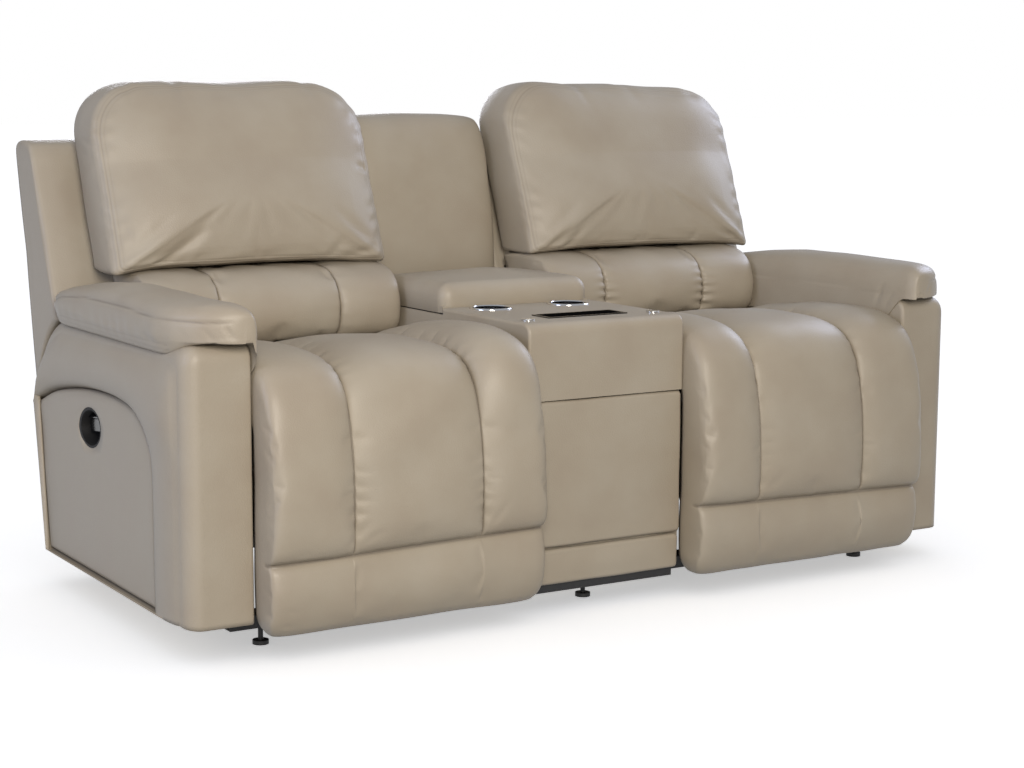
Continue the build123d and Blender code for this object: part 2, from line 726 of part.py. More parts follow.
bin_front = partition_y + console_wall
bin_rear = lid_rear - 8
bin_tub = block(-well_half, well_half, bin_front, bin_rear, bin_floor, console_top)
bin_tub = bin_tub + block(-well_half - 10, well_half + 10, bin_front - 10, bin_rear,
                          console_top, console_top + 3)
bin_tub = bin_tub - block(-well_half + 3, well_half - 3, bin_front + 3, bin_rear - 3, bin_floor + 3, far)
save("storage_bin", bin_tub)

# Lid: board, padded cover, and a three-knuckle hinge at its rear
lid_floor = console_top + 3.4
lid_board_top = console_top + 17.0
lid_half = console_half - 4
lid_board = block(-lid_half, lid_half, lid_front + 2, lid_rear, lid_floor, lid_board_top)
save("lid_board", lid_board)


# Padded cover of the lid: bowed front and rear, crowned top, every upper edge rolled over
pad_half = console_half - 2
pad_shoulder = lid_top - 8
pad_front = (lid_front + 1, lid_board_top)
pad_rear = (lid_rear, lid_board_top)
pad_waist = (pad_shoulder + lid_board_top) / 2
pad_edges = [
    ThreePointArc(pad_front, (lid_front - 2, pad_waist), (lid_front + 1, pad_shoulder)),
    ThreePointArc((lid_front + 1, pad_shoulder), ((lid_front + lid_rear) / 2, lid_top),
                  (lid_rear, pad_shoulder)),
    ThreePointArc((lid_rear, pad_shoulder), (lid_rear + 2, pad_waist), pad_rear),
    Line(pad_rear, pad_front),
]
lid_pad = side_slab(pad_edges, -pad_half, pad_half)
lid_pad = fillet([edge for edge in lid_pad.edges() if edge.center().Z > lid_board_top + 1], 16.0)
save("lid_pad", lid_pad)

knuckle = 4.0
hinge_pin = 2.0
hinge_half = 150.0
knuckle_ends = [-hinge_half, -hinge_half / 3, hinge_half / 3, hinge_half]
lid_leaf = block(-hinge_half, hinge_half, lid_rear, lid_rear + 1.5, lid_floor, lid_board_top)
box_leaf = block(-hinge_half, hinge_half, lid_hinge_y + 9, console_rear, console_top, console_top + 2)
for index, (x0, x1) in enumerate(zip(knuckle_ends, knuckle_ends[1:])):
    barrel = rod(x0 + 0.3, x1 - 0.3, lid_hinge_y, lid_hinge_z, knuckle)
    if index % 2:
        strap = block(x0 + 0.3, x1 - 0.3, lid_rear, lid_hinge_y, lid_hinge_z - 1, lid_hinge_z + 1)
        lid_leaf = lid_leaf + barrel + strap
    else:
        strap = block(x0 + 0.3, x1 - 0.3, lid_hinge_y, lid_hinge_y + 11,
                      lid_hinge_z - knuckle, lid_hinge_z - 2)
        box_leaf = box_leaf + barrel + strap
pin = rod(-hinge_half, hinge_half, lid_hinge_y, lid_hinge_z, hinge_pin)
save("lid_hinge_leaf", lid_leaf - rod(-far, far, lid_hinge_y, lid_hinge_z, hinge_pin + run_fit))
box_leaf = box_leaf - rod(-far, far, lid_hinge_y, lid_hinge_z, hinge_pin)
save("box_hinge_leaf", Compound(children=[box_leaf, pin]))

# Fixed back between the two seats: post, padded front, rear cover
def lean_slab(front, rear, z0, z1, x0, x1):
    return side_slab(side_outline((rear_plane(z0) - front, z0), (rear_plane(z0) - rear, z0),
                                  (rear_plane(z1) - rear, z1), (rear_plane(z1) - front, z1)), x0, x1)


save_both("rear_apron", lean_slab(12, 5, arm_floor + 6, recline_z + 8, console_back_half + 7, arm_inner))
post_half = console_back_half - 15
save("console_back_post", lean_slab(post_front, cover_thick, arm_floor, console_post_top,
                                    -post_half, post_half))
save("console_back_cover", lean_slab(cover_thick, 0, arm_floor + 2, console_cover_top,
                                     -console_back_half, console_back_half))


def console_back_profile(inset):
    foot = console_back_foot + inset * 0.3
    top = console_back_top - inset
    front_foot = (console_back_front + inset, foot)
    front_top = (console_back_head + inset, top - 36)
    crown = (rear_plane(top) - 118, top)
    back_top_y = rear_plane(top - 30) - post_front
    return [
        Line((rear_plane(foot) - post_front, foot), front_foot),
        ThreePointArc(front_foot, (console_back_bow_y + inset, console_back_bow_z), front_top),
        ThreePointArc(front_top, (front_top[0] + 22, top - 10), crown),
        Line(crown, (back_top_y, top - 30)),
        Line((back_top_y, top - 30), (rear_plane(foot) - post_front, foot)),
    ]


save("console_back_cushion", channelled(console_back_profile, (-console_back_half, console_back_half), 16.0))


# Floor frame: two box-section rails on screw-in glides
def rail(y):
    outer = block(-rail_half, rail_half, y, y + rail_depth, rail_floor, rail_top)
    return outer - block(-rail_half - 1, rail_half + 1, y + rail_wall, y + rail_depth - rail_wall,
                         rail_floor + rail_wall, rail_top - rail_wall)


save("floor_rails", Compound(children=[rail(rail_front_y), rail(rail_rear_y)]))

glide = Pos(0, 0, glide_foot / 2) * Cylinder(glide_radius, glide_foot)
glide = glide + Pos(0, 0, (glide_foot + rail_floor) / 2) * Cylinder(glide_stem, rail_floor - glide_foot)
for name, y in (("front_glides", rail_front_y), ("rear_glides", rail_rear_y)):
    save(name, Compound(children=[Pos(x, y + rail_depth / 2, 0) * glide for x in (-glide_x, 0, glide_x)]))
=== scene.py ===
import bpy
import json
import math
import numpy as np
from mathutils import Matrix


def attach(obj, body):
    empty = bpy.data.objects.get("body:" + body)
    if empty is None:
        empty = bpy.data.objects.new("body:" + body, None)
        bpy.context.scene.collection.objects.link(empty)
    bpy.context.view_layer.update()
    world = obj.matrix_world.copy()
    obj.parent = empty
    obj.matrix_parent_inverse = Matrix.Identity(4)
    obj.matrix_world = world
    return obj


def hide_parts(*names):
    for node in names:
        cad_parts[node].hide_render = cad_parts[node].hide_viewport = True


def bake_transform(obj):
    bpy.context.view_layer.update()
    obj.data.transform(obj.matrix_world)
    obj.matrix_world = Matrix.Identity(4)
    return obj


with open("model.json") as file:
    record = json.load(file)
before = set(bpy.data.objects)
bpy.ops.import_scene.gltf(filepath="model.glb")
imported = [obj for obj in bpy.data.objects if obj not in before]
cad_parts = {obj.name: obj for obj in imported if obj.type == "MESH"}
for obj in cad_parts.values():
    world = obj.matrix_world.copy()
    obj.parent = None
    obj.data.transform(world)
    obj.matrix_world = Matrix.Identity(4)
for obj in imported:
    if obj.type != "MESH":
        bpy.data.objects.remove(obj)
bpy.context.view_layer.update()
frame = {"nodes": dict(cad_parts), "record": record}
nodes = frame["nodes"]
midDepth = 442.0  # pieces are drawn in mm with y back from the arm fronts, the frame has y from mid depth
sides = (("left", -1), ("right", 1))


# Catmull-Rom curve through the points, read off again at equal steps of length
def curveThrough(points, count, closed=False):
    p = np.asarray(points, float)
    q = np.vstack([p[-1:], p, p[:2]]) if closed else np.vstack([2 * p[:1] - p[1:2], p, 2 * p[-1:] - p[-2:-1]])
    t = np.linspace(0, 1, 24, endpoint=False)[:, None, None]
    a, b, c, d = q[:-3], q[1:-2], q[2:-1], q[3:]
    dense = 0.5 * (2 * b + (c - a) * t + (2 * a - 5 * b + 4 * c - d) * t**2 + (3 * b - a - 3 * c + d) * t**3)
    dense = np.vstack([dense.transpose(1, 0, 2).reshape(-1, p.shape[1]), p[:1] if closed else p[-1:]])
    return evenSteps(dense, count, closed)


# The same points along a line, at equal steps of length
def evenSteps(dense, count, closed=False):
    run = np.concatenate([[0], np.cumsum(np.linalg.norm(np.diff(dense, axis=0), axis=1))])
    at = np.linspace(0, run[-1], count + 1)[:-1] if closed else np.linspace(0, run[-1], count)
    return np.column_stack([np.interp(at, run, dense[:, k]) for k in range(dense.shape[1])])


# Arc of a circle in the side view, angles in degrees from straight back, turning up
def sideArc(centre, radius, fromDeg, toDeg, count):
    turn = np.radians(np.linspace(fromDeg, toDeg, count))
    return np.column_stack([centre[0] + radius * np.cos(turn), centre[1] + radius * np.sin(turn)])


def unit(value):  # kept within 0 and 1
    return np.clip(value, 0, 1)


def bell(off, width):  # 1 at the middle, fading to both sides
    return np.exp(-(off / width)**2)


def easeIn(value):  # 0 to 1 with level ends
    value = unit(value)
    return value**2 * (3 - 2 * value)


# Outward normals of a stack of rings: the cross product of its two directions
def outward(rings):
    normal = np.cross(np.gradient(rings, axis=0), np.roll(rings, -1, axis=1) - np.roll(rings, 1, axis=1))
    normal /= np.maximum(np.linalg.norm(normal, axis=2, keepdims=True), 1e-9)
    middle = rings.mean((0, 1))
    return normal if np.sum(normal * (rings - middle)) > 0 else -normal


# Soft unevenness: eight sine waves of about the given length in set directions, added up
def waver(points, length, seed):
    pick = np.random.default_rng(seed)
    ways = pick.normal(size=(8, 3))
    ways *= (2 * np.pi / length) * pick.uniform(0.6, 1.4, (8, 1)) / np.linalg.norm(ways, axis=1, keepdims=True)
    return np.sin(points @ ways.T + pick.uniform(0, 6.28, 8)).sum(axis=-1) / 4


# Creases: each is a dent along a line from a to b with a low ridge on both sides, fading at its ends.
# keep says which axes count for the distance, where fades the creases out of the rest of the piece.
def pressCreases(rings, creases, keep=(1, 1, 1), where=1.0):
    normal = outward(rings)
    flat = rings * keep
    for a, b, width, depth in creases:
        a, b = np.array(a, float) * keep, np.array(b, float) * keep
        along = unit((flat - a) @ (b - a) / ((b - a) @ (b - a)))
        gap = np.linalg.norm(flat - (a + along[..., None] * (b - a)), axis=2) / width
        push = depth * (1 - 0.9 * gap**2) * np.exp(-gap**2) * np.sin(np.pi * np.clip(along, 0.03, 0.97))**0.8
        rings = rings - normal * (push * where)[..., None]
    return rings


# Skin over a stack of rings: quads from ring to ring, a fan to the middle of both ends, or closed round as a tube.
# The place goes from mm at the arm fronts to metres in the frame; a left-hand piece is the mirror image.
def skin(name, rings, seam=None, side=1, tube=False):
    count, width = rings.shape[:2]
    points = rings.reshape(-1, 3)
    if not tube:
        points = np.vstack([points, rings[0].mean(0), rings[-1].mean(0)])
    points = (points - [0, midDepth, 0]) * [side, 1, 1] / 1000
    rows = np.arange(count if tube else count - 1)[:, None]
    col = np.arange(width)[None, :]
    nextCol, nextRow = (col + 1) % width, (rows + 1) % count
    quads = np.stack(np.broadcast_arrays(rows * width + col, nextRow * width + col,
                                         nextRow * width + nextCol, rows * width + nextCol), axis=-1).reshape(-1, 4)
    corner, turn = np.arange(width), np.roll(np.arange(width), -1)
    tris = np.empty((0, 3), int)
    if not tube:
        base = (count - 1) * width
        tris = np.vstack([np.column_stack([corner, turn, np.full(width, count * width)]),
                          np.column_stack([base + turn, base + corner, np.full(width, count * width + 1)])])
    a, b, c, d = (points[quads[:, k]] for k in range(4))
    volume = np.sum(a * np.cross(b, c)) + np.sum(a * np.cross(c, d))
    if len(tris):
        volume += np.sum(points[tris[:, 0]] * np.cross(points[tris[:, 1]], points[tris[:, 2]]))
    if volume < 0:
        quads, tris = quads[:, ::-1], tris[:, ::-1]
    mesh = bpy.data.meshes.new(name)
    mesh.vertices.add(len(points))
    mesh.vertices.foreach_set("co", points.ravel())
    mesh.loops.add(quads.size + tris.size)
    mesh.loops.foreach_set("vertex_index", np.concatenate([quads.ravel(), tris.ravel()]))
    mesh.polygons.add(len(quads) + len(tris))
    sizes = np.concatenate([np.full(len(quads), 4), np.full(len(tris), 3)])
    mesh.polygons.foreach_set("loop_start", np.concatenate([[0], np.cumsum(sizes)[:-1]]))
    mesh.update(calc_edges=True)
    mesh.polygons.foreach_set("use_smooth", np.ones(len(sizes), bool))
    # painted shade along the seams, one value per point, which the leather reads from the seam attribute
    seamShadePaint = np.zeros(len(points))
    if seam is not None:
        seamShadePaint[:seam.size] = unit(seam).ravel()
    mesh.attributes.new("seam", "FLOAT", "POINT").data.foreach_set("value", seamShadePaint)
    piece = bpy.data.objects.new(name, mesh)
    bpy.context.scene.collection.objects.link(piece)
    return piece


# Concentric rings that close an end: the last ring drawn in to its middle, bowed out along way
def closeEnd(ring, way, bow, steps=6):
    middle = ring.mean(0)
    t = np.linspace(0, 1, steps + 2)[1:-1, None, None]
    return middle + (ring - middle) * (1 - t) + np.array(way, float) * bow * (1 - (1 - t)**2)


clothFrames = 20


# Cloth pass on every few rows and columns of a stack of rings: the skin is cut a little too large, held where held is
# 1 and blown up without gravity. The way it went, eased off to stay under limit mm, goes back on the full stack.
def inflate(rings, held, limit, rowStep=2, colStep=3, pressure=4.0, spare=0.008):
    count, width = rings.shape[:2]
    rows, cols = np.unique(np.append(np.arange(0, count, rowStep), count - 1)), np.arange(0, width, colStep)
    pad = skin("cloth_pass", rings[rows][:, cols])
    mesh = pad.data
    pins = pad.vertex_groups.new(name="held")
    firm = np.append(held[rows][:, cols].ravel(), [1.0, held[-1].max()])
    pins.add(np.flatnonzero(firm > 0.5).tolist(), 1.0, "REPLACE")
    cloth = pad.modifiers.new("cloth", "CLOTH")
    cloth.settings.quality = 6
    cloth.settings.mass = 0.4
    cloth.settings.bending_stiffness = 4.0
    cloth.settings.shrink_min = -spare
    cloth.settings.vertex_group_mass = "held"
    cloth.settings.use_pressure = True
    cloth.settings.uniform_pressure_force = pressure
    cloth.settings.effector_weights.gravity = 0
    cloth.collision_settings.use_collision = False
    cloth.point_cache.frame_end = clothFrames
    start = np.empty(len(mesh.vertices) * 3)
    mesh.vertices.foreach_get("co", start)
    for step in range(1, clothFrames + 1):
        bpy.context.scene.frame_set(step)
    blown = pad.evaluated_get(bpy.context.evaluated_depsgraph_get()).data
    ended = np.empty_like(start)
    blown.vertices.foreach_get("co", ended)
    bpy.data.objects.remove(pad)
    bpy.data.meshes.remove(mesh)
    bpy.context.scene.frame_set(1)
    move = ((ended - start) * 1000).reshape(-1, 3)[:len(rows) * len(cols)].reshape(len(rows), len(cols), 3)
    far = np.maximum(np.linalg.norm(move, axis=2, keepdims=True), 1e-6)
    move = move * (limit * np.tanh(far / limit) / far)
    down = np.array([np.interp(np.arange(count), rows, one) for one in np.eye(len(rows))]).T
    loop = np.append(cols, width)
    along = np.array([np.interp(np.arange(width), loop, np.append(one, one[0])) for one in np.eye(len(cols))]).T
    return rings + np.einsum("ij,jkc,lk->ilc", down, move, along)


def linear(code, alpha=1.0):
    value = np.array([int(code[k:k + 2], 16) for k in (1, 3, 5)]) / 255
    value = np.where(value <= 0.04045, value / 12.92, ((value + 0.055) / 1.055)**2.4)
    return (*value, alpha)


# One node with its values, links and settings
def addNode(tree, kind, values=None, links=None, **settings):
    node = tree.nodes.new(kind)
    for key, value in settings.items():
        setattr(node, key, value)
    for key, value in (values or {}).items():
        node.inputs[key].default_value = value
    for key, socket in (links or {}).items():
        tree.links.new(socket, node.inputs[key])
    return node


def newMaterial(name, **surface):
    material = bpy.data.materials.new(name)
    material.use_nodes = True
    tree = material.node_tree
    shader = tree.nodes["Principled BSDF"]
    for key, value in surface.items():
        shader.inputs[key.replace("_", " ")].default_value = value
    place = addNode(tree, "ShaderNodeTexCoord").outputs["Object"]
    return material, tree, shader, place


# Top-grain leather, drum dyed and lightly finished: fine pebble, slow mottling, satin shine, painted shade darkening
# the seams
leatherLook = dict(base="#9D9485", deep="#998F80", light="#A1998B", seamShade="#574E43", pebble=2.6, mottle=140.0)


def topGrainLeather():
    material, tree, shader, place = newMaterial("top_grain_leather", Roughness=0.46, IOR=1.45)
    mottle = addNode(tree, "ShaderNodeTexNoise", {"Scale": 1000 / leatherLook["mottle"], "Detail": 3.0}, {"Vector": place})
    tone = addNode(tree, "ShaderNodeValToRGB", None, {"Fac": mottle.outputs["Fac"]})
    tone.color_ramp.elements[0].position = 0.3
    tone.color_ramp.elements[0].color = linear(leatherLook["deep"])
    tone.color_ramp.elements[1].position = 0.72
    tone.color_ramp.elements[1].color = linear(leatherLook["light"])
    tone.color_ramp.elements.new(0.5).color = linear(leatherLook["base"])
    # painted shade: the seam attribute mixes the dark seam colour into the leather where the seams lie in shade
    seam = addNode(tree, "ShaderNodeAttribute", attribute_name="seam")
    mix = addNode(tree, "ShaderNodeMixRGB", {"Color2": linear(leatherLook["seamShade"])},
                  {"Fac": seam.outputs["Fac"], "Color1": tone.outputs["Color"]})
    tree.links.new(mix.outputs["Color"], shader.inputs["Base Color"])
    pebble = addNode(tree, "ShaderNodeTexVoronoi", {"Scale": 1000 / leatherLook["pebble"]}, {"Vector": place})
    rough = addNode(tree, "ShaderNodeMapRange", {"From Min": 0.2, "From Max": 0.8, "To Min": 0.40, "To Max": 0.54},
                    {"Value": mottle.outputs["Fac"]})
    tree.links.new(rough.outputs["Result"], shader.inputs["Roughness"])
    bump = addNode(tree, "ShaderNodeBump", {"Strength": 0.3, "Distance": 0.0007}, {"Height": pebble.outputs["Distance"]})
    tree.links.new(bump.outputs["Normal"], shader.inputs["Normal"])
    return material


# Birch plywood: pale, fine lengthwise grain, matt
def birchPlywood():
    material, tree, shader, place = newMaterial("birch_plywood", Roughness=0.6)
    stretch = addNode(tree, "ShaderNodeMapping", {"Scale": (8, 220, 220)}, {"Vector": place})
    grain = addNode(tree, "ShaderNodeTexNoise", {"Scale": 1.0, "Detail": 4.0}, {"Vector": stretch.outputs["Vector"]})
    tone = addNode(tree, "ShaderNodeValToRGB", None, {"Fac": grain.outputs["Fac"]})
    tone.color_ramp.elements[0].color = linear("#B08D5E")
    tone.color_ramp.elements[1].color = linear("#D8BD92")
    tree.links.new(tone.outputs["Color"], shader.inputs["Base Color"])
    return material


# A plain coated or plated finish: faint cloudy change of roughness and an orange-peel bump of the given grain in mm
def finishedSurface(name, code, metallic, rough, grain, strength):
    material, tree, shader, place = newMaterial(name, Metallic=metallic)
    cloud = addNode(tree, "ShaderNodeTexNoise", {"Scale": 1000 / grain, "Detail": 3.0}, {"Vector": place})
    ramp = addNode(tree, "ShaderNodeMapRange", {"To Min": rough * 0.8, "To Max": rough * 1.2},
                   {"Value": cloud.outputs["Fac"]})
    tree.links.new(ramp.outputs["Result"], shader.inputs["Roughness"])
    tint = addNode(tree, "ShaderNodeValToRGB", None, {"Fac": cloud.outputs["Fac"]})
    tint.color_ramp.elements[0].color = linear(code)
    tint.color_ramp.elements[1].color = tuple(min(1.0, v * 1.12) for v in linear(code))
    tree.links.new(tint.outputs["Color"], shader.inputs["Base Color"])
    bump = addNode(tree, "ShaderNodeBump", {"Strength": strength, "Distance": 0.0004}, {"Height": cloud.outputs["Fac"]})
    tree.links.new(bump.outputs["Normal"], shader.inputs["Normal"])
    return material


# Woven polypropylene dust cloth: black, matt, a thread every 1.5 mm
def dustCloth():
    material, tree, shader, place = newMaterial("woven_dust_cloth", Roughness=0.85)
    thread = addNode(tree, "ShaderNodeTexWave", {"Scale": 1000 / (1.5 * 6.28), "Distortion": 0.4}, {"Vector": place})
    tone = addNode(tree, "ShaderNodeValToRGB", None, {"Fac": thread.outputs["Fac"]})
    tone.color_ramp.elements[0].color = linear("#17171A")
    tone.color_ramp.elements[1].color = linear("#2A2A2E")
    tree.links.new(tone.outputs["Color"], shader.inputs["Base Color"])
    return material


leather = topGrainLeather()
finishes = {
    "upholstery_leather": leather,
    "plywood": birchPlywood(),
    "painted_steel": finishedSurface("powder_coated_steel", "#0C0C0E", 0.0, 0.55, 2.5, 0.12),
    "zinc_plated_steel": finishedSurface("zinc_plated_steel", "#A9ADB2", 1.0, 0.32, 6.0, 0.05),
    "chrome_trim": finishedSurface("chromed_steel", "#D8DADD", 1.0, 0.08, 30.0, 0.02),
    "black_gloss_plastic": finishedSurface("gloss_abs", "#0B0B0C", 0.0, 0.14, 14.0, 0.02),
    "black_matt_plastic": finishedSurface("moulded_polypropylene", "#161618", 0.0, 0.5, 1.6, 0.18),
    "dust_cloth": dustCloth(),
    "finger_cup": finishedSurface("textured_abs", "#060607", 0.0, 0.8, 1.2, 0.1),
}
slotOf = {row["node"]: row["material_slot"] for row in frame["record"]["subparts"]}
for name in ("console_box", "console_back_post", "lid_board", "left_back_frame", "right_back_frame"):
    slotOf[name] = "upholstery_leather"  # wrapped in leather where they show between the cushions
# the decking cloth is real, and its black also paints shade in the gap between lumbar and seat
slotOf["left_seat_deck"] = slotOf["right_seat_deck"] = "dust_cloth"  # decking cloth over the boards
for name, node in nodes.items():
    node.data.materials.clear()
    node.data.materials.append(finishes["finger_cup" if name.endswith("finger_cup") else slotOf[name]])
print("materials:", len(finishes), "finishes on", len(slotOf), "named nodes")


# Leather on a padded piece, which rides on a body when one is given
def upholster(piece, body, replaced):
    piece.data.materials.append(leather)
    if body:
        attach(piece, body)
    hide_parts(*replaced)


# A channelled pad: pairs of points (outer y, z, inner y, z) carried along its length are the stations, and each
# station is a ring over the crowned channels, down one side, along the underside and up the other side.
# A channel falls from its crown to a seam as 1 - sqrt(1 - t^2.5) of the draw, and to an end as 1 - sqrt(1 - t^5).
# A draw is one value or a function of the station's outer point; lifts raises each channel's crown where liftAt says.
def channelPad(pairs, stations, x0, x1, seams, drawSeam, drawEnd, bulge, lifts=(0, 0, 0), liftAt=None, narrow=None):
    path = curveThrough(pairs, stations)
    outer, inner = path[:, :2], path[:, 2:]
    walls = (x0,) + tuple(seams) + (x1,)
    across, fall, isEnd, lift = [], [], [], []
    for k, (a, b) in enumerate(zip(walls, walls[1:])):
        t = np.sin(np.linspace(-np.pi / 2, np.pi / 2, 35))[0 if k == 0 else 1:]
        atEnd = np.where(t < 0, k == 0, k == len(walls) - 2)
        across.append((a + b) / 2 + (b - a) / 2 * t)
        fall.append(1 - np.sqrt(1 - np.abs(t)**np.where(atEnd, 5.0, 2.5) + 1e-9))
        isEnd.append(atEnd)
        lift.append(lifts[k] * (1 - t**2))
    across, fall, isEnd, lift = (np.concatenate(v) for v in (across, fall, isEnd, lift))
    seamDraw, endDraw = (d(outer) if callable(d) else np.full(stations, d) for d in (drawSeam, drawEnd))
    way = inner - outer
    thick = np.linalg.norm(way, axis=1)
    way /= thick[:, None]
    drop = np.minimum(fall * np.where(isEnd, endDraw[:, None], seamDraw[:, None]), 0.6 * thick[:, None])
    if liftAt is not None:
        drop = drop - lift * liftAt(outer)[:, None]
    top = outer[:, None, :] + way[:, None, :] * drop[..., None]
    v = np.linspace(0, 1, 10)[1:, None]
    low = np.linspace(0, 1, 22)[1:, None]

    def strip(points, xs):
        return np.concatenate([np.broadcast_to(xs, points.shape[:2])[..., None], points], axis=2)

    sideHigh = top[:, -1][:, None] * (1 - v) + inner[:, None] * v
    sideLow = inner[:, None] * (1 - v) + top[:, 0][:, None] * v
    under = np.repeat(inner[:, None], len(low), axis=1)
    swell = bulge * np.sin(np.pi * v[:, 0])
    rings = np.concatenate([strip(top, across), strip(sideHigh, x1 + swell), strip(under, x1 + (x0 - x1) * low[:, 0]),
                            strip(sideLow, x0 - swell)[:, :-1]], axis=1)
    off = np.full(rings.shape[:2], 99.0)  # distance from the nearest seam, minus on its inner side
    if len(seams):
        gap = across[:, None] - np.array(seams)[None, :]
        off[:, :len(across)] = gap[np.arange(len(across)), np.abs(gap).argmin(axis=1)]
    # painted shade along the seams, darker where a seam is drawn deeper
    seam = 0.6 * bell(off, 1.6) * unit(seamDraw / 10)[:, None]
    if narrow is not None:
        middle = (x0 + x1) / 2
        rings[..., 0] = middle + (rings[..., 0] - middle) * narrow(outer)[:, None]
    return rings, seam, off


sideFrom = 104  # from this column on, a ring of three channels is sides and underside


# Puckers beside a seam: short waves along the run, out of step on the two sides, fading with the distance from it
def puckers(run, off, length, reach, seed):
    wave = np.sin(run * 2 * np.pi / length + 1.9 * np.sin(run / 37 + seed) + np.where(off < 0, 0.0, 1.7))
    return wave * np.clip(0.6 + np.sin(run / 53 + 2 * seed), 0.15, 1.4) * bell(off, reach) * (np.abs(off) > 1.2)


# Seat and leg rest are one long chaise pad: three channels run down to the seam over the foot band, which tucks in
# under them. The seams lie deepest on the crest of the seat.
chaise = dict(x0=192.5, x1=788.0, seams=(339.0, 619.0), bulge=1.6, footSeam=190.0, stations=300, tilt=6.0)
chaisePairs = [
    (566, 492, 562, 488), (540, 502, 540, 487), (485, 519, 485, 487), (420, 536, 420, 487), (340, 551, 340, 487),
    (250, 562, 250, 487), (155, 570, 160, 487), (90, 571, 100, 487), (40, 567, 66, 487), (0, 556, 44, 487),
    (-30, 537, 36, 484), (-52, 506, 34, 474), (-64, 474, 32, 464), (-74, 425, 20, 450), (-82, 365, 8, 425),
    (-87, 310, 8, 360), (-89, 255, 8, 270), (-86, 221, 8, 222), (-79, 203, 8, 204), (-67, 193, 8, 194),
    (-63, 189, 8, 189), (-68, 182, 8, 182), (-73, 168, 8, 168), (-76, 130, 8, 130), (-70, 90, 8, 92),
    (-59, 62, 4, 66), (-46, 47, -6, 50)]
chaiseLifts = {"left": (22, 0, 0), "right": (6, 0, 3)}
chaiseCreases = {
    "left": [
        ((780, -60, 300), (700, -86, 250), 9, 1.6), ((785, -50, 240), (715, -84, 208), 8, 2.2),
        ((786, -40, 350), (740, -80, 330), 8, 1.4), ((640, -84, 206), (585, -88, 262), 9, 2.2),
        ((618, -84, 204), (560, -88, 240), 8, 1.8), ((300, -40, 540), (215, -62, 470), 12, 1.6),
        ((786, -50, 160), (745, -74, 130), 8, 2.6), ((786, -50, 120), (740, -72, 96), 8, 2.4),
        ((784, -40, 90), (748, -66, 66), 7, 2.2), ((330, -84, 206), (285, -88, 270), 9, 1.6)],
    "right": [
        ((780, -60, 280), (720, -86, 240), 9, 1.4), ((205, -50, 250), (260, -84, 212), 8, 1.8),
        ((205, -50, 160), (250, -74, 140), 8, 2.2), ((205, -50, 120), (255, -72, 100), 8, 2.2),
        ((350, -84, 208), (400, -88, 262), 9, 1.6), ((205, -40, 330), (240, -80, 310), 9, 1.4)],
}


def makeChaise(name, side):
    def seat(outer, deep, front):  # deep goes by y on the seat, front by z below its nose
        return np.where(outer[:, 0] >= 0, np.interp(outer[:, 0], *deep), np.interp(outer[:, 1], *front))

    def seamDraw(outer):
        front = ((190, 200, 230, 300, 430, 480, 545), (0, 9, 17, 16, 17, 22, 32))
        return seat(outer, ((0, 150, 400, 560), (33, 34, 24, 10)), front)

    def endDraw(outer):
        return seat(outer, ((0, 150, 560), (34, 36, 16)), ((47, 190, 430, 545), (12, 14, 15, 31)))

    def liftAt(outer):
        return seat(outer, ((0, 300, 560), (1, 0.7, 0)), ((400, 560), (0, 1)))

    def roundCorners(outer):
        q = unit((84 - outer[:, 1]) / 42) * (outer[:, 0] < 0)
        return 1 - (26 / 296) * (1 - np.sqrt(1 - 0.92 * q**2))

    rings, seam, off = channelPad(
        chaisePairs, chaise["stations"], chaise["x0"], chaise["x1"], chaise["seams"], seamDraw, endDraw,
        chaise["bulge"], chaiseLifts[name], liftAt, roundCorners)
    onFront = rings[..., 1] < -40
    fromFoot = np.abs(rings[..., 2] - chaise["footSeam"])
    # painted shade along the seam over the foot band
    seam = np.maximum(seam, 0.75 * bell(fromFoot, 1.8) * onFront)
    run = np.concatenate([[0], np.cumsum(np.linalg.norm(np.diff(rings[:, 60], axis=0), axis=1))])[:, None]
    held = (np.abs(off) < 3) & ~(onFront & (rings[..., 2] < chaise["footSeam"])) | (fromFoot < 5) & onFront
    held[:, sideFrom:] = True
    held[:6] = held[-6:] = True
    rings = inflate(rings, held * 1.0, 6.0, 3, 1, spare=0.004)
    normal = outward(rings)
    above = unit((rings[..., 2] - chaise["footSeam"] - 8) / 20)
    rings = rings + normal * (1.2 * waver(rings, 120, 11 + side) + 0.55 * above * puckers(run, off, 33, 18, 3 + side)
                              - 2.0 * bell(fromFoot, 3.0) * onFront)[..., None]
    rings = pressCreases(rings, chaiseCreases[name])
    lean = (chaise["x0"] + chaise["x1"]) / 2 - rings[..., 0]
    rings[..., 2] += chaise["tilt"] * lean / 298 * bell(rings[..., 2] - chaise["footSeam"], 90)
    piece = skin(f"{name}_chaise_pad", rings, seam, side)
    upholster(piece, None, (f"{name}_seat_cushion", f"{name}_legrest_pad"))
    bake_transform(piece)


# Lumbar cushion: the same channels, standing on the back frame, with a tail that closes the gap behind the seat
lumbar = dict(x0=196.0, x1=786.0, seams=(346.0, 628.0), drawSeam=15.0, drawEnd=24.0, bulge=2.0, stations=110)
lumbarPairs = [
    (612, 424, 618, 424), (611, 450, 618, 450), (610, 480, 622, 482), (604, 503, 640, 508), (575, 515, 675, 520),
    (535, 524, 678, 530), (514, 545, 684, 548), (507, 575, 692, 570), (510, 607, 702, 596),
    (526, 640, 712, 625), (560, 664, 720, 645), (615, 675, 725, 657), (690, 675, 728, 664)]


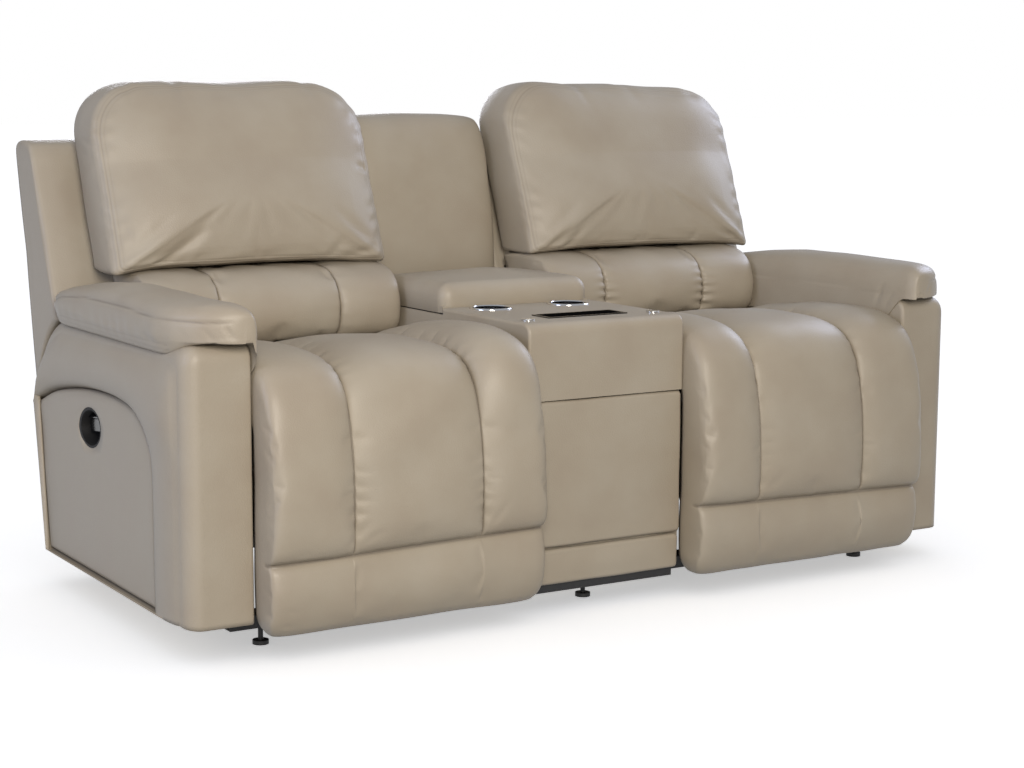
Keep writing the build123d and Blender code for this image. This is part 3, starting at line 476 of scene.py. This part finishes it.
def makeLumbar(name, side):
    rings, seam, off = channelPad(
        lumbarPairs, lumbar["stations"], lumbar["x0"], lumbar["x1"], lumbar["seams"],
        lambda outer: np.interp(outer[:, 1], (505, 520), (0, lumbar["drawSeam"])), lumbar["drawEnd"], lumbar["bulge"],
        narrow=lambda outer: 1 - 0.1 * easeIn((512 - outer[:, 1]) / 20))
    front = (rings[..., 1] < 640) & (rings[..., 2] > 516)
    held = (np.abs(off) < 3) | (rings[..., 2] < 514)
    held[:, sideFrom:] = True
    held[:3] = held[-3:] = True
    rings = inflate(rings, held * 1.0, 8.0, 2, 1, spare=0.012)
    gathers = 2.5 * puckers(rings[..., 2], off, 22, 24, 1 + side) * front
    rings = rings + outward(rings) * (gathers + 1.2 * waver(rings, 90, 31 + side))[..., None]
    piece = skin(f"{name}_lumbar_pad", rings, seam, side)
    upholster(piece, f"{name}_back", (f"{name}_lumbar_cushion",))


# Headrest pillow: one outline, carried level from the back frame over the gusset, then rolled in over the front,
# which rises from the gusset to its middle as (1 - (1 - t)^2.6)^0.45 of what is left.
pillow = dict(inner=191.0, outer=827.0, foot=677.0, top=1065.0, corner=116.0, lowCorner=12.0, gusset=116.0, reach=182.0,
              belly=13.0, puff=4.0, lidSide=188.4, loop=420)
pillowCreases = {
    "left": [
        ((752, 0, 676), (618, 0, 772), 17, 8.0), ((700, 0, 684), (655, 0, 722), 13, 2.6),
        ((300, 0, 690), (206, 0, 712), 14, 3.4), ((340, 0, 690), (300, 0, 736), 15, 2.6),
        ((196, 0, 880), (236, 0, 890), 11, 4.0), ((790, 0, 720), (806, 0, 800), 15, 1.6)],
    "right": [
        ((224, 0, 688), (300, 0, 742), 14, 4.4), ((276, 0, 684), (330, 0, 736), 14, 3.4),
        ((806, 0, 680), (740, 0, 712), 13, 4.4), ((640, 0, 684), (660, 0, 722), 13, 1.8),
        ((806, 0, 690), (786, 0, 740), 13, 2.0)],
}
pillowDents = {  # in the top edge: x, width, depth
    "left": ((625, 14, 4.0), (312, 17, 3.4), (742, 13, 2.2)),
    "right": ((412, 14, 3.8), (742, 22, 3.2), (560, 18, 2.2))}
gussetCreases = [
    ((830, 790, 958), (830, 715, 940), 7, 3.4), ((830, 800, 930), (830, 730, 916), 8, 3.8),
    ((830, 700, 760), (830, 640, 742), 10, 1.6), ((188, 770, 900), (188, 690, 884), 9, 2.4),
    ((188, 700, 740), (188, 620, 728), 9, 1.8)]


def frameFront(z):
    return 693 + 0.38 * (z - 573)


def pillowOutline(grow, lift):
    x0, x1 = pillow["inner"] - grow, pillow["outer"] + grow
    r, low, top, foot = pillow["corner"], pillow["lowCorner"], pillow["top"] + lift, pillow["foot"] - grow * 0.3
    corners = (((x1 - low, foot + low), low, -90), ((x1 - r, top - r), r, 0),
               ((x0 + r, top - r), r, 90), ((x0 + low, foot + low), low, 180))
    loop = np.vstack([sideArc(centre, size, start, start + 90, 24) for centre, size, start in corners])
    return evenSteps(np.vstack([loop, loop[:1]]), pillow["loop"], closed=True)


def pillowRings():
    middle = np.array([(pillow["inner"] + pillow["outer"]) / 2, (pillow["foot"] + pillow["top"]) / 2])
    level = np.linspace(0, 1, 15)
    full = np.sin(np.pi / 2 * unit(level / 0.6))
    shapes = [pillowOutline(-g, -g) for g in (9.0, 5.0, 2.0)]
    shapes += [pillowOutline(pillow["puff"] * e, 6 * e) for e in full]
    shapes, deep = np.array(shapes), np.append([0.0, 0.01, 0.03], 0.05 + 0.95 * level)
    back = np.arange(11, 0, -1) / 12  # rear panel, from its middle out
    rear = middle + (shapes[0] - middle) * (1 - back)[:, None, None]
    t = np.linspace(0, 1, 76)[1:-1]**1.5
    face = middle + (shapes[-1] - middle) * (1 - t)[:, None, None]
    flat = np.concatenate([rear, shapes, face])
    rise = (1 - (1 - t)**2.6)**0.45
    gusset = pillow["gusset"]
    lead = np.concatenate([np.zeros(len(rear)), gusset * deep, gusset + (pillow["reach"] - gusset) * rise])
    y = frameFront(flat[..., 1]) - lead[:, None]
    swell = np.concatenate([(1 - (1 - back)**2)**0.6, np.zeros(len(shapes) + len(face))])
    y = y + swell[:, None] * 16 * unit((flat[..., 1] - 952) / 50)  # the free top swells to the rear as well
    rings = np.stack([flat[..., 0], y, flat[..., 1]], axis=-1)
    seamRow = len(rear) + len(shapes) + 8
    panel = np.concatenate([np.zeros(len(rear) + len(shapes)), unit(t / 0.25)])
    low = unit((rings[..., 2] - pillow["foot"]) / 230)
    rings[..., 1] -= pillow["belly"] * np.sin(np.pi * low)**1.2 * panel[:, None]  # the filling settles to the foot
    held = np.zeros(rings.shape[:2])
    held[:len(rear) + 4] = 1
    held[seamRow - 1:seamRow + 1] = 1
    return inflate(rings, held, 6.0, spare=0.001), seamRow


def makePillow(name, side, rings, seamRow):
    foot = unit((pillow["foot"] + 40 - rings[..., 2]) / 40)
    across = (rings[..., 0] - pillow["inner"]) / (pillow["outer"] - pillow["inner"]) * 2 - 1
    arch = 10 * (1 - np.abs(across)**3) - 5 * unit(across)**6
    rings = rings.copy()
    rings[..., 2] += foot * arch
    crest = unit((rings[..., 2] - 985) / 70)**2
    if name == "right":
        rings[..., 2] -= crest * 9 * (across + 0.4)
    row = np.arange(len(rings))[:, None]
    ahead = easeIn((row - 17) / 12)  # nothing of this on the rear panel
    for at, width, depth in pillowDents[name]:
        rings[..., 2] -= ahead * crest * depth * bell(rings[..., 0] - at, width)
    rings[..., 2] += ahead * crest * 1.8 * np.sin(rings[..., 0] / 41 + side)
    normal = outward(rings)
    off = np.linalg.norm(rings - rings[seamRow], axis=2) * np.sign(row - seamRow)
    ripple = np.sin(rings[..., 2] * 2 * np.pi / 46 + 2.0 * np.sin(rings[..., 2] / 31) + rings[..., 0] / 29)
    rings = rings + normal * (1.5 * waver(rings, 190, 51 + side) + 1.1 * ripple * bell(np.abs(off) - 16, 14)
                              - 1.5 * bell(off, 3.4) - 0.8 * bell(np.abs(off) - 9, 2.4))[..., None]
    front = unit((row - seamRow) / 3.0)
    rings = pressCreases(rings, pillowCreases[name], (1, 0, 1), front)
    rings = pressCreases(rings, gussetCreases, where=unit((seamRow - row) / 2.0) * ahead)
    spare = rings[..., 0] - pillow["lidSide"]
    rings[..., 0] = pillow["lidSide"] + np.where(spare < 8, 8 * np.exp(spare / 8 - 1), spare)  # room for the open lid
    # painted shade along the gusset seam and along the topstitch groove 9 mm beside it
    seam = np.maximum(0.22 * bell(off, 1.5), 0.1 * bell(np.abs(off) - 9, 1.6))
    piece = skin(f"{name}_headrest_pad", rings, seam, side)
    upholster(piece, f"{name}_back", (f"{name}_headrest_pillow",))


# Arm pad: an XZ section with an outside lip and an inside flap is carried back along the arm, falling to the rear.
# In plan the nose closes as quarter ellipses, a long one outside; lip and flap grow from nothing behind the nose.
armPad = dict(tip=-34.0, rear=722.0, inner=788.0, outer=942.0, noseAt=812.0, noseRun=168.0, rearRound=44.0, rearFrom=606.0,
              split=600.0, stations=150)
armPadSection = [
    (790.5, 530), (791, 560), (794, 586), (830, 586), (880, 586), (913, 586), (919, 582), (921, 575), (926, 572),
    (933, 576), (938, 589), (942, 608), (941, 629), (935, 645), (921, 657), (896, 665), (862, 668), (824, 665), (801, 652),
    (790, 628), (788, 598), (788, 560), (788.5, 532)]
armPadTop = [(-35, 668), (40, 670), (150, 673), (300, 675), (432, 674), (546, 665), (640, 654), (728, 640)]
armPadSeam = [(-35, 637), (40, 638), (110, 638), (264, 645), (488, 644), (629, 632), (722, 612)]
armPadFlap = {"left": -62.0, "right": -8.0}  # where the inside flap begins to hang
armPadCreases = {
    "left": [
        ((870, -14, 604), (890, 10, 634), 7, 1.8), ((838, -32, 604), (858, -26, 634), 7, 1.6),
        ((900, 20, 602), (918, 50, 630), 7, 1.6), ((940, 90, 590), (942, 180, 606), 9, 1.3),
        ((942, 230, 618), (942, 360, 606), 10, 1.2), ((842, -20, 652), (900, 30, 660), 10, 1.2)],
    "right": [
        ((792, 60, 566), (796, 20, 620), 9, 2.4), ((790, 90, 570), (790, 60, 630), 10, 2.2),
        ((830, -30, 604), (850, -24, 632), 8, 1.6), ((880, 0, 602), (905, 40, 626), 8, 1.4)],
}


def quarter(run, start, length):  # 0 at start, 1 one length on, along a quarter ellipse
    return np.sqrt(unit(1 - (1 - unit((run - start) / length))**2))


def makeArmPad(name, side):
    section = curveThrough(armPadSection, 160, closed=True)
    tip, inner, outer, split = (armPad[key] for key in ("tip", "inner", "outer", "split"))
    run = tip + 0.4 + (armPad["rear"] - tip - 0.4) * np.linspace(0, 1, armPad["stations"])**1.9
    outerX = armPad["noseAt"] + (outer - armPad["noseAt"]) * quarter(run, tip, armPad["noseRun"])
    rearEnd = armPad["rear"] + 3
    outerX = outerX - armPad["rearRound"] * (1 - quarter(-run, -rearEnd, rearEnd - armPad["rearFrom"]))
    innerX = inner + 12 * (1 - quarter(run, tip, 30))
    topZ = 644 + (np.interp(run, *np.array(armPadTop, float).T) - 644) * quarter(run, tip, 56)
    share = (section[:, 0] - inner) / (outer - inner)
    lipGain, flapGain = 0.06 + 0.94 * easeIn((run + 2) / 98), 0.06 + 0.94 * easeIn((run - armPadFlap[name]) / 92)
    lowGain = flapGain[:, None] + (lipGain - flapGain)[:, None] * unit(share / 0.3)
    x = innerX[:, None] + share[None, :] * (outerX - innerX)[:, None]
    z = section[None, :, 1]
    z = split + (z - split) * np.where(z > split, ((topZ - split) / 68)[:, None], lowGain)
    rings = np.stack([x, np.broadcast_to(run[:, None], x.shape), z], axis=-1)
    rings = np.concatenate([closeEnd(rings[0], (0, -1, 0), 1.5)[::-1], rings, closeEnd(rings[-1], (0, 1, 0), 2.0)])
    line = np.interp(rings[..., 1], *np.array(armPadSeam, float).T)
    gap = np.abs(rings[..., 2] - line)
    off = (rings[..., 0] - inner) / np.maximum(np.interp(rings[..., 1], run, outerX) - inner, 1)
    band = unit((off - 0.7) / 0.12) * unit((rings[..., 1] - tip - 3) / 14)
    lip = np.minimum(np.abs(rings[..., 2] - 582), np.abs(rings[..., 2] - 592)) + 99 * ((rings[..., 1] < 70) | (off < 0.85))
    # painted shade along the side seam and the seams of the outside lip
    seam = np.maximum(0.42 * bell(gap, 1.5) * band, 0.3 * bell(lip, 1.3))
    normal = outward(rings)
    wrinkle = np.sin(rings[..., 1] * 2 * np.pi / 52 + 1.5 * np.sin(rings[..., 1] / 51))
    wrinkle = wrinkle * bell(rings[..., 2] - 604, 18) * (off > 0.8)
    rings = rings + normal * (0.5 * wrinkle + 1.2 * waver(rings, 150, 71 + side) * (rings[..., 2] > 606)
                              - 2.2 * bell(gap, 3.6) * band - 0.9 * bell(lip, 2.4))[..., None]
    rings = pressCreases(rings, armPadCreases[name])
    piece = skin(f"{name}_arm_pad_soft", rings, seam, side)
    upholster(piece, "base", (f"{name}_arm_pad",))


# Arm outline in the side view: front, rounded front corner, top, rear corner about the recline pivot, rear, floor.
# Both the arm and the arched panel are read off in the same four runs, so their rings match point for point.
arm = dict(inner=791.0, outer=927.0, floor=64.0, top=594.0, frontRound=30.0, edge=9.0, topEdge=34.0, frontBend=36.0,
           bandBow=9.0, shoulderBow=8.0, panelFace=925.0, panelSeat=909.0, cupDepth=873.0)
cupHole = (62, 41.5)  # half length and half height of the opening for the finger cup
pivot = (640.0, 380.0)
armSweep = 205.0
armTurn = 2.2  # degrees above level where the run over the top becomes the rear
rearLean = 0.2035
runs = (44, 110, 40, 60)


def rearLine(z, sweep=armSweep):
    return pivot[0] + sweep / math.cos(math.atan(rearLean)) + rearLean * (z - pivot[1])


def fourRuns(front, over, rear, floor):
    parts = [evenSteps(np.asarray(run, float), count + 1)[:-1] for run, count in zip((front, over, rear, floor), runs)]
    return np.vstack(parts)


def armLoop(inset, topInset=None, frontInset=None):
    drop, ahead = inset if topInset is None else topInset, inset if frontInset is None else frontInset
    top, sweep, corner = arm["top"] - drop, armSweep - drop, max(arm["frontRound"] - inset, 6.0)
    floor = arm["floor"] + inset * 0.6
    front = [(ahead, floor), (ahead, top - corner - 60)]
    over = np.vstack([[front[1]], sideArc((ahead + corner, top - corner), corner, 180, 90, 12),
                      sideArc(pivot, sweep, 90, armTurn, 40)])
    lean = math.degrees(math.atan(rearLean))
    heel = (rearLine(floor, armSweep - inset), floor)
    rear = np.vstack([sideArc(pivot, sweep, armTurn, -lean, 8), [heel]])
    return fourRuns(front, over, rear, [heel, (ahead, floor)])


archPoints = [(161, 300), (166, 340), (180, 382), (205, 416), (247, 441), (300, 452), (380, 457), (473, 456), (540, 452),
              (611, 444), (690, 432), (759, 416), (838, 389)]


def archLoop(inset):
    floor = arm["floor"] + 5 + inset
    front = [(161 + inset, floor), (161 + inset, 300)]
    over = curveThrough(archPoints, 120)
    slope = np.gradient(over, axis=0)
    slope /= np.linalg.norm(slope, axis=1, keepdims=True)
    over = over + np.column_stack([slope[:, 1], -slope[:, 0]]) * inset
    rearTop = (rearLine(over[-1, 1]) - 6 - inset, over[-1, 1])
    over[-1] = rearTop
    rear = [rearTop, (rearLine(floor) - 6 - inset, floor)]
    return fourRuns(front, over, rear, [rear[1], front[0]])


def ovalLoop(longHalf, highHalf, like):
    centre, tilt = np.array([503.0, 375.0]), math.radians(-6)
    way = like - centre
    turn = np.unwrap(np.arctan2(way[:, 1] / highHalf, way[:, 0] / longHalf))
    flat = np.column_stack([longHalf * np.cos(turn), highHalf * np.sin(turn)])
    return centre + flat @ np.array([[math.cos(tilt), math.sin(tilt)], [-math.sin(tilt), math.cos(tilt)]])


def sheetAt(loop, x):
    return np.column_stack([np.broadcast_to(x, len(loop)), loop])


def makeArm(name, side):
    edge = arm["edge"]
    turn = np.radians(np.linspace(0, 90, 7))
    rings = [sheetAt(armLoop(edge * (1 - math.sin(a))), arm["inner"] + edge * (1 - math.cos(a)) * 0.8) for a in turn]
    wide = arm["topEdge"]
    rings += [sheetAt(armLoop(0), x) for x in np.linspace(arm["inner"] + 20, arm["outer"] - wide - 6, 8)]
    bend, run = arm["frontBend"], np.radians(np.linspace(0, 90, 13))
    rings += [sheetAt(armLoop(edge * (1 - math.cos(a)), wide * (1 - math.cos(a)), bend * (1 - math.cos(a))),
                      arm["outer"] - wide * (1 - math.sin(a))) for a in run]
    outerLoop, arch = armLoop(edge, wide, bend), archLoop(0)
    for t in np.linspace(0, 1, 13)[1:]:
        loop = outerLoop * (1 - t) + arch * t
        full = arm["bandBow"] + arm["shoulderBow"] * unit((loop[:, 1] - 380) / 60)
        rings.append(sheetAt(loop, arm["outer"] + full * math.sin(math.pi * t)**0.6 - 9.0 * max(0.0, (t - 0.94) / 0.06)))
    bandCount = len(rings)
    hole = ovalLoop(*cupHole, arch)
    rings += [sheetAt(archLoop(3), arm["panelSeat"]), sheetAt(hole, arm["panelSeat"]), sheetAt(hole, arm["cupDepth"])]
    rings = np.array(rings)
    seam = np.zeros(rings.shape[:2])
    # painted shade in the seam where the band meets the arched panel
    seam[bandCount - 1] = 0.6
    seam[bandCount] = 0.9
    piece = skin(f"{name}_arm_skin", rings, seam, side)
    upholster(piece, "base", (f"{name}_arm_cover",))

    face = arm["panelFace"]
    edges = ((2, 910.0), (2, 914.0), (3.2, 918.0), (6.5, face - 0.6))
    rows = [sheetAt(archLoop(inset), x) for inset, x in edges]
    rim, hole = archLoop(12), ovalLoop(*cupHole, archLoop(12))
    for t in np.linspace(0, 1, 15):
        rows.append(sheetAt(rim * (1 - t) + hole * t, face + 2.5 * math.sin(math.pi * t)**0.8))
    rows += [sheetAt(hole, 910.0)]
    rows = np.array(rows)
    rows[4:-1, :, 0] += 0.7 * waver(rows[4:-1], 200, 91 + side)
    # painted shade along the panel's seam edge
    mark = np.zeros(rows.shape[:2])
    mark[:2] = 0.6
    piece = skin(f"{name}_arm_panel_skin", rows, mark, side, tube=True)
    upholster(piece, "base", (f"{name}_arm_side_panel",))


# Outer back with its wings: the leaning side-view loop, hollowed about the recline pivot, carried across
backShell = dict(inner=181.0, outer=918.0, edge=12.0, hollow=209.0)


def makeShell(name, side):
    hollow = backShell["hollow"]
    frontAt = lambda z: 723 + 0.38 * (z - 573)
    front = [(frontAt(916) + 2, 916), (frontAt(750), 750), (722.6, 572)]
    topArc = [(rearLine(915), 915), (rearLine(935) - 2, 935), (rearLine(946) - 14, 945), (rearLine(946) - 40, 947),
              (905, 946), (880, 941), (866, 932), (frontAt(916) + 2, 916)]
    rear = [(rearLine(415), 415), (rearLine(700), 700), (rearLine(915), 915)]
    tip = pivot[0] + math.sqrt(hollow**2 - 35**2)
    arc = sideArc(pivot, hollow, 67, math.degrees(math.atan2(35, tip - pivot[0])), 30)
    loop = np.vstack([evenSteps(np.array(rear, float), 51)[:-1], curveThrough(topArc, 21)[:-1],
                      evenSteps(np.array(front, float), 41)[:-1], evenSteps(arc, 29)[:-1],
                      evenSteps(np.array([(tip, 415), (rearLine(415), 415)]), 5)[:-1]])
    middle = np.array([862.0, 715.0])
    thick = np.clip((loop[:, 1] - 400) / 170, 0.12, 1)[:, None]
    way = middle - loop
    way /= np.linalg.norm(way, axis=1, keepdims=True)
    turn = np.radians(np.linspace(0, 90, 7))
    edge = backShell["edge"]
    inner, outer = backShell["inner"], backShell["outer"]
    rings = [sheetAt(loop + way * thick * edge * (1 - math.sin(a)), inner + edge * (1 - math.cos(a))) for a in turn]
    rings += [sheetAt(loop, x) for x in np.linspace(inner + 30, outer - edge - 12, 40)]
    rings += [sheetAt(loop + way * thick * edge * (1 - math.cos(a)), outer - edge * (1 - math.sin(a))) for a in turn]
    rings = np.array(rings)
    end = rings[-1]
    t = np.linspace(0, 1, 12)[1:-1, None]
    cap = [sheetAt(end[:, 1:] * (1 - q) + middle * q, outer + 0.5 * math.sin(math.pi * q[0])) for q in t]
    rings = np.concatenate([rings, np.array(cap)])
    wing = unit((rings[..., 0] - 800) / 60) * unit((rings[..., 2] - 560) / 40)
    ahead = rings[..., 1] < 723 + 0.38 * (rings[..., 2] - 573) + 20
    rings[..., 1] -= 5.0 * wing * ahead * np.sin(np.pi * unit((rings[..., 0] - 800) / 118))
    # painted shade along the seam round the rear edge of the outer side
    seam = np.zeros(rings.shape[:2])
    seam[len(rings) - 10, :52] = 0.7
    piece = skin(f"{name}_outer_back", rings, seam, side)
    upholster(piece, f"{name}_back", (f"{name}_back_shell",))


# Rear apron: dust cloth stretched from the floor rail up the rear and on round the recline pivot, inside the outer back
apron = dict(inner=177.0, outer=790.0, foot=70.0, radius=201.0, thick=2.0, upTo=24.0)


def makeApron(name, side):
    lean = math.degrees(math.atan(rearLean))
    faces = []
    for radius in (apron["radius"], apron["radius"] - apron["thick"]):
        foot = [(rearLine(apron["foot"], radius), apron["foot"])]
        faces.append(np.vstack([foot, sideArc(pivot, radius, -lean, apron["upTo"], 24)]))
    loop = np.vstack([evenSteps(faces[0], 60), evenSteps(faces[1], 60)[::-1]])
    xs = np.linspace(apron["inner"], apron["outer"], 40)
    rings = np.array([sheetAt(loop, x) for x in xs])
    high = unit((rings[..., 2] - apron["foot"]) / 270)
    rings[..., 1] -= (1.5 + waver(rings, 160, 43 + side)) * np.sin(np.pi * high)  # drawn in a little between its staples
    piece = skin(f"{name}_rear_cloth", rings, None, side)
    piece.data.materials.append(finishes["dust_cloth"])
    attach(piece, "base")
    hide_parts(f"{name}_rear_apron")


# A boxed pad: rounded rectangles (half width a, half height b) stacked through its depth, rolled at the edges and
# crowned to its middle. The three axes say which way width, height and depth run.
def roundedBox(a, b, corner, count):
    turn = np.radians(np.linspace(0, 90, 9))
    arcs = [np.column_stack([sx * (a - corner) + corner * np.cos(turn + k * np.pi / 2),
                             sz * (b - corner) + corner * np.sin(turn + k * np.pi / 2)])
            for k, (sx, sz) in enumerate(((1, 1), (-1, 1), (-1, -1), (1, -1)))]
    loop = np.vstack(arcs)
    return evenSteps(np.vstack([loop, loop[:1]]), count, closed=True)


def boxedPad(centre, wide, high, deep, a, b, depth, corner, roll, crown, tuck=2.5, count=160):
    wide, high, deep = (np.array(v, float) for v in (wide, high, deep))
    turn = np.radians(np.linspace(0, 90, 8))
    steps = [(0.5 * min(a, b), 0.0), (tuck + 1.5, 0.0), (tuck, 0.0), (0.0, tuck), (0.0, depth - roll)]
    steps += [(roll * (1 - math.cos(q)), depth - roll + roll * math.sin(q)) for q in turn[1:]]
    rows = []
    for draw, level in steps:
        loop = roundedBox(a - draw, b - draw, max(corner - draw, 2.0), count)
        rows.append(centre + loop[:, :1] * wide + loop[:, 1:] * high + level * deep)
    rings = np.array(rows)
    middle, t = rings[-1].mean(0), np.linspace(0, 1, 13)[1:-1, None, None]
    inside = (rings[-1] - middle) * (1 - t)
    rise = (1 - (inside @ wide / (a - roll))**2) * (1 - (inside @ high / (b - roll))**2)
    return np.concatenate([rings, middle + inside + deep * (crown * unit(rise)**1.4)[..., None]])


console = dict(frontY=14.0, frontDepth=14, backHalf=175.0, backThick=19.6, backFoot=66.0, backTop=985.0)
lid = dict(midY=496.0, foot=582.6, wide=186.6, deep=145.5, thick=65, corner=26, roll=32, crown=14.0, tuck=0.4)


def makeConsole():
    fronts = (("console_front_pad", "console_front_panel", 284.5, 188, 150.0, 4.0),
              ("console_lower_pad", "console_lower_panel", 93.5, 184, 36.5, 2.5))
    for name, node, midZ, wide, high, crown in fronts:
        rings = boxedPad(np.array([0, console["frontY"], midZ]), (1, 0, 0), (0, 0, 1), (0, -1, 0), wide, high,
                         console["frontDepth"], 8, 8, crown)
        rings = rings + outward(rings) * (0.7 * waver(rings, 140, 15))[..., None]
        piece = skin(name, rings)
        upholster(piece, "base", (node,))
    rings = boxedPad(np.array([0, lid["midY"], lid["foot"]]), (1, 0, 0), (0, 1, 0), (0, 0, 1), lid["wide"], lid["deep"],
                     lid["thick"], lid["corner"], lid["roll"], lid["crown"], lid["tuck"], 200)
    belly = bell(rings[..., 2] - 615, 12)
    flat = rings[..., :2] - [0, lid["midY"]]
    rings[..., :2] += flat / np.maximum(np.linalg.norm(flat, axis=2, keepdims=True), 1) * belly[..., None]
    upper = unit((rings[..., 2] - 625) / 20)
    rings = rings + outward(rings) * (1.2 * waver(rings, 110, 23) * upper)[..., None]
    # painted shade along the lid's side seam
    seam = bell(rings[..., 2] - 606, 2.0) * (np.abs(rings[..., 2] - 606) < 8)
    piece = skin("lid_soft_pad", rings, seam * 0.7)
    upholster(piece, "lid", ("lid_pad",))

    pairs = [
        (790, 606, 836, 608), (745, 605, 838, 616), (724, 622, 842, 640), (722, 690, 852, 700), (737, 790, 872, 792),
        (757, 880, 890, 880), (780, 950, 902, 940), (808, 986, 907, 958), (850, 999, 909, 966), (900, 997, 924, 968),
        (932, 988, 938, 969), (945, 977, 945, 970)]
    rings, seam, _ = channelPad(pairs, 90, -console["backHalf"], console["backHalf"], (), 0.0, 20.0, 2.0)
    rings = rings + outward(rings) * (1.3 * waver(rings, 130, 29))[..., None]
    piece = skin("console_back_pad", rings, seam)
    upholster(piece, "base", ("console_back_cushion",))

    lean = np.array([0.0, rearLean, 1.0]) / math.hypot(rearLean, 1.0)
    out = np.array([0.0, 1.0, -rearLean]) / math.hypot(rearLean, 1.0)
    midZ = (console["backFoot"] + console["backTop"]) / 2
    centre = np.array([0.0, rearLine(midZ) - 20.0, midZ])
    high = (console["backTop"] - console["backFoot"]) / 2 * math.hypot(rearLean, 1.0)
    rings = boxedPad(centre, (1, 0, 0), lean, out, console["backHalf"], high, console["backThick"], 12, 10, 1.5)
    piece = skin("console_rear_skin", rings)
    upholster(piece, "base", ("console_back_cover",))


pillowBase, pillowSeam = pillowRings()
for name, side in sides:
    makeChaise(name, side)
    makeLumbar(name, side)
    makePillow(name, side, pillowBase, pillowSeam)
    makeArmPad(name, side)
    makeArm(name, side)
    makeShell(name, side)
    makeApron(name, side)
makeConsole()
print("upholstery made")


# Studio: white floor running to a white surround, a warm key from the front left, cool boxes at the left and right
# and a low fill behind
camera = dict(at=(-2.29413, -3.78631, 1.04891), down=8.269, right=29.898, lens=70.44, sensor=36.0, shift=0.0605)
# name, place, aim, size, watts, colour
lamps = (("key", (-2.0, -4.3, 2.1), (0.05, 0.0, 0.8), 2.0, 186, "#FFF5E7"),
         ("left", (-4.4, -0.4, 1.9), (0.0, 0.0, 0.5), 2.0, 52, "#CFDBFF"),
         ("right", (3.7, 0.6, 2.5), (0.3, 0.0, 0.6), 2.0, 84, "#DAE4FF"),
         ("rear", (1.2, 4.6, 1.5), (0.0, 0.4, 0.6), 2.0, 80, "#F4F6FF"))


def makeStudio():
    rim = np.array([[-60, -60], [60, -60], [60, 60], [-60, 60]], float)
    mesh = bpy.data.meshes.new("studio_floor")
    mesh.from_pydata(np.column_stack([rim, np.zeros(4)]).tolist(), [], [(0, 1, 2, 3)])
    floor = bpy.data.objects.new("studio_floor", mesh)
    bpy.context.scene.collection.objects.link(floor)
    paint = bpy.data.materials.new("white_floor_paint")  # lit past white, so that only the shade under the seat shows
    paint.use_nodes = True
    tree = paint.node_tree
    tree.nodes.clear()
    matt = addNode(tree, "ShaderNodeBsdfDiffuse", {"Color": (1.45, 1.46, 1.47, 1)})
    glow = addNode(tree, "ShaderNodeEmission", {"Color": (1, 1, 1, 1), "Strength": 0.45})
    both = addNode(tree, "ShaderNodeAddShader", None, {0: matt.outputs[0], 1: glow.outputs[0]})
    addNode(tree, "ShaderNodeOutputMaterial", None, {"Surface": both.outputs[0]})
    mesh.materials.append(paint)
    floor.visible_diffuse = False  # its glow stays out of the shaded sides
    sweep = bpy.data.collections.new("floor_sweep")  # the lamps pass the floor by, the surround alone shades it
    sweep.objects.link(floor)
    sweep.collection_objects[0].light_linking.link_state = "EXCLUDE"
    world = bpy.data.worlds.new("studio")
    world.use_nodes = True
    tree = world.node_tree
    tree.nodes["Background"].inputs["Color"].default_value = linear("#F6F7FB")
    facing = addNode(tree, "ShaderNodeSeparateXYZ", None, {0: addNode(tree, "ShaderNodeTexCoord").outputs["Generated"]})
    level = addNode(tree, "ShaderNodeMapRange", {"From Min": -0.25, "From Max": 0.1, "To Min": 0.2, "To Max": 0.46},
                    {"Value": facing.outputs["Z"]})
    tree.links.new(level.outputs["Result"], tree.nodes["Background"].inputs["Strength"])  # darker from below
    white = addNode(tree, "ShaderNodeBackground", {"Color": (1, 1, 1, 1), "Strength": 1.0})
    seen = addNode(tree, "ShaderNodeLightPath").outputs["Is Camera Ray"]
    dim = tree.nodes["Background"].outputs[0]
    both = addNode(tree, "ShaderNodeMixShader", None, {0: seen, 1: dim, 2: white.outputs[0]})
    tree.links.new(both.outputs[0], tree.nodes["World Output"].inputs["Surface"])
    bpy.context.scene.world = world
    for name, at, aim, size, power, code in lamps:
        lamp = bpy.data.lights.new(name, "AREA")
        lamp.shape = "DISK"
        lamp.size = size
        lamp.energy = power
        lamp.color = linear(code)[:3]
        holder = bpy.data.objects.new(name, lamp)
        holder.location = at
        way = np.array(aim) - np.array(at)
        holder.rotation_euler = (math.acos(-way[2] / np.linalg.norm(way)), 0, math.atan2(-way[0], way[1]))
        holder.light_linking.receiver_collection = sweep
        bpy.context.scene.collection.objects.link(holder)
    eye = bpy.data.cameras.new("camera")
    eye.lens = camera["lens"]
    eye.sensor_width = camera["sensor"]
    eye.shift_x = camera["shift"]
    holder = bpy.data.objects.new("camera", eye)
    holder.location = camera["at"]
    holder.rotation_euler = (math.radians(90 - camera["down"]), 0, math.radians(-camera["right"]))
    bpy.context.scene.collection.objects.link(holder)
    bpy.context.scene.camera = holder
    bpy.context.scene.view_settings.view_transform = "Standard"


makeStudio()
print("studio set")
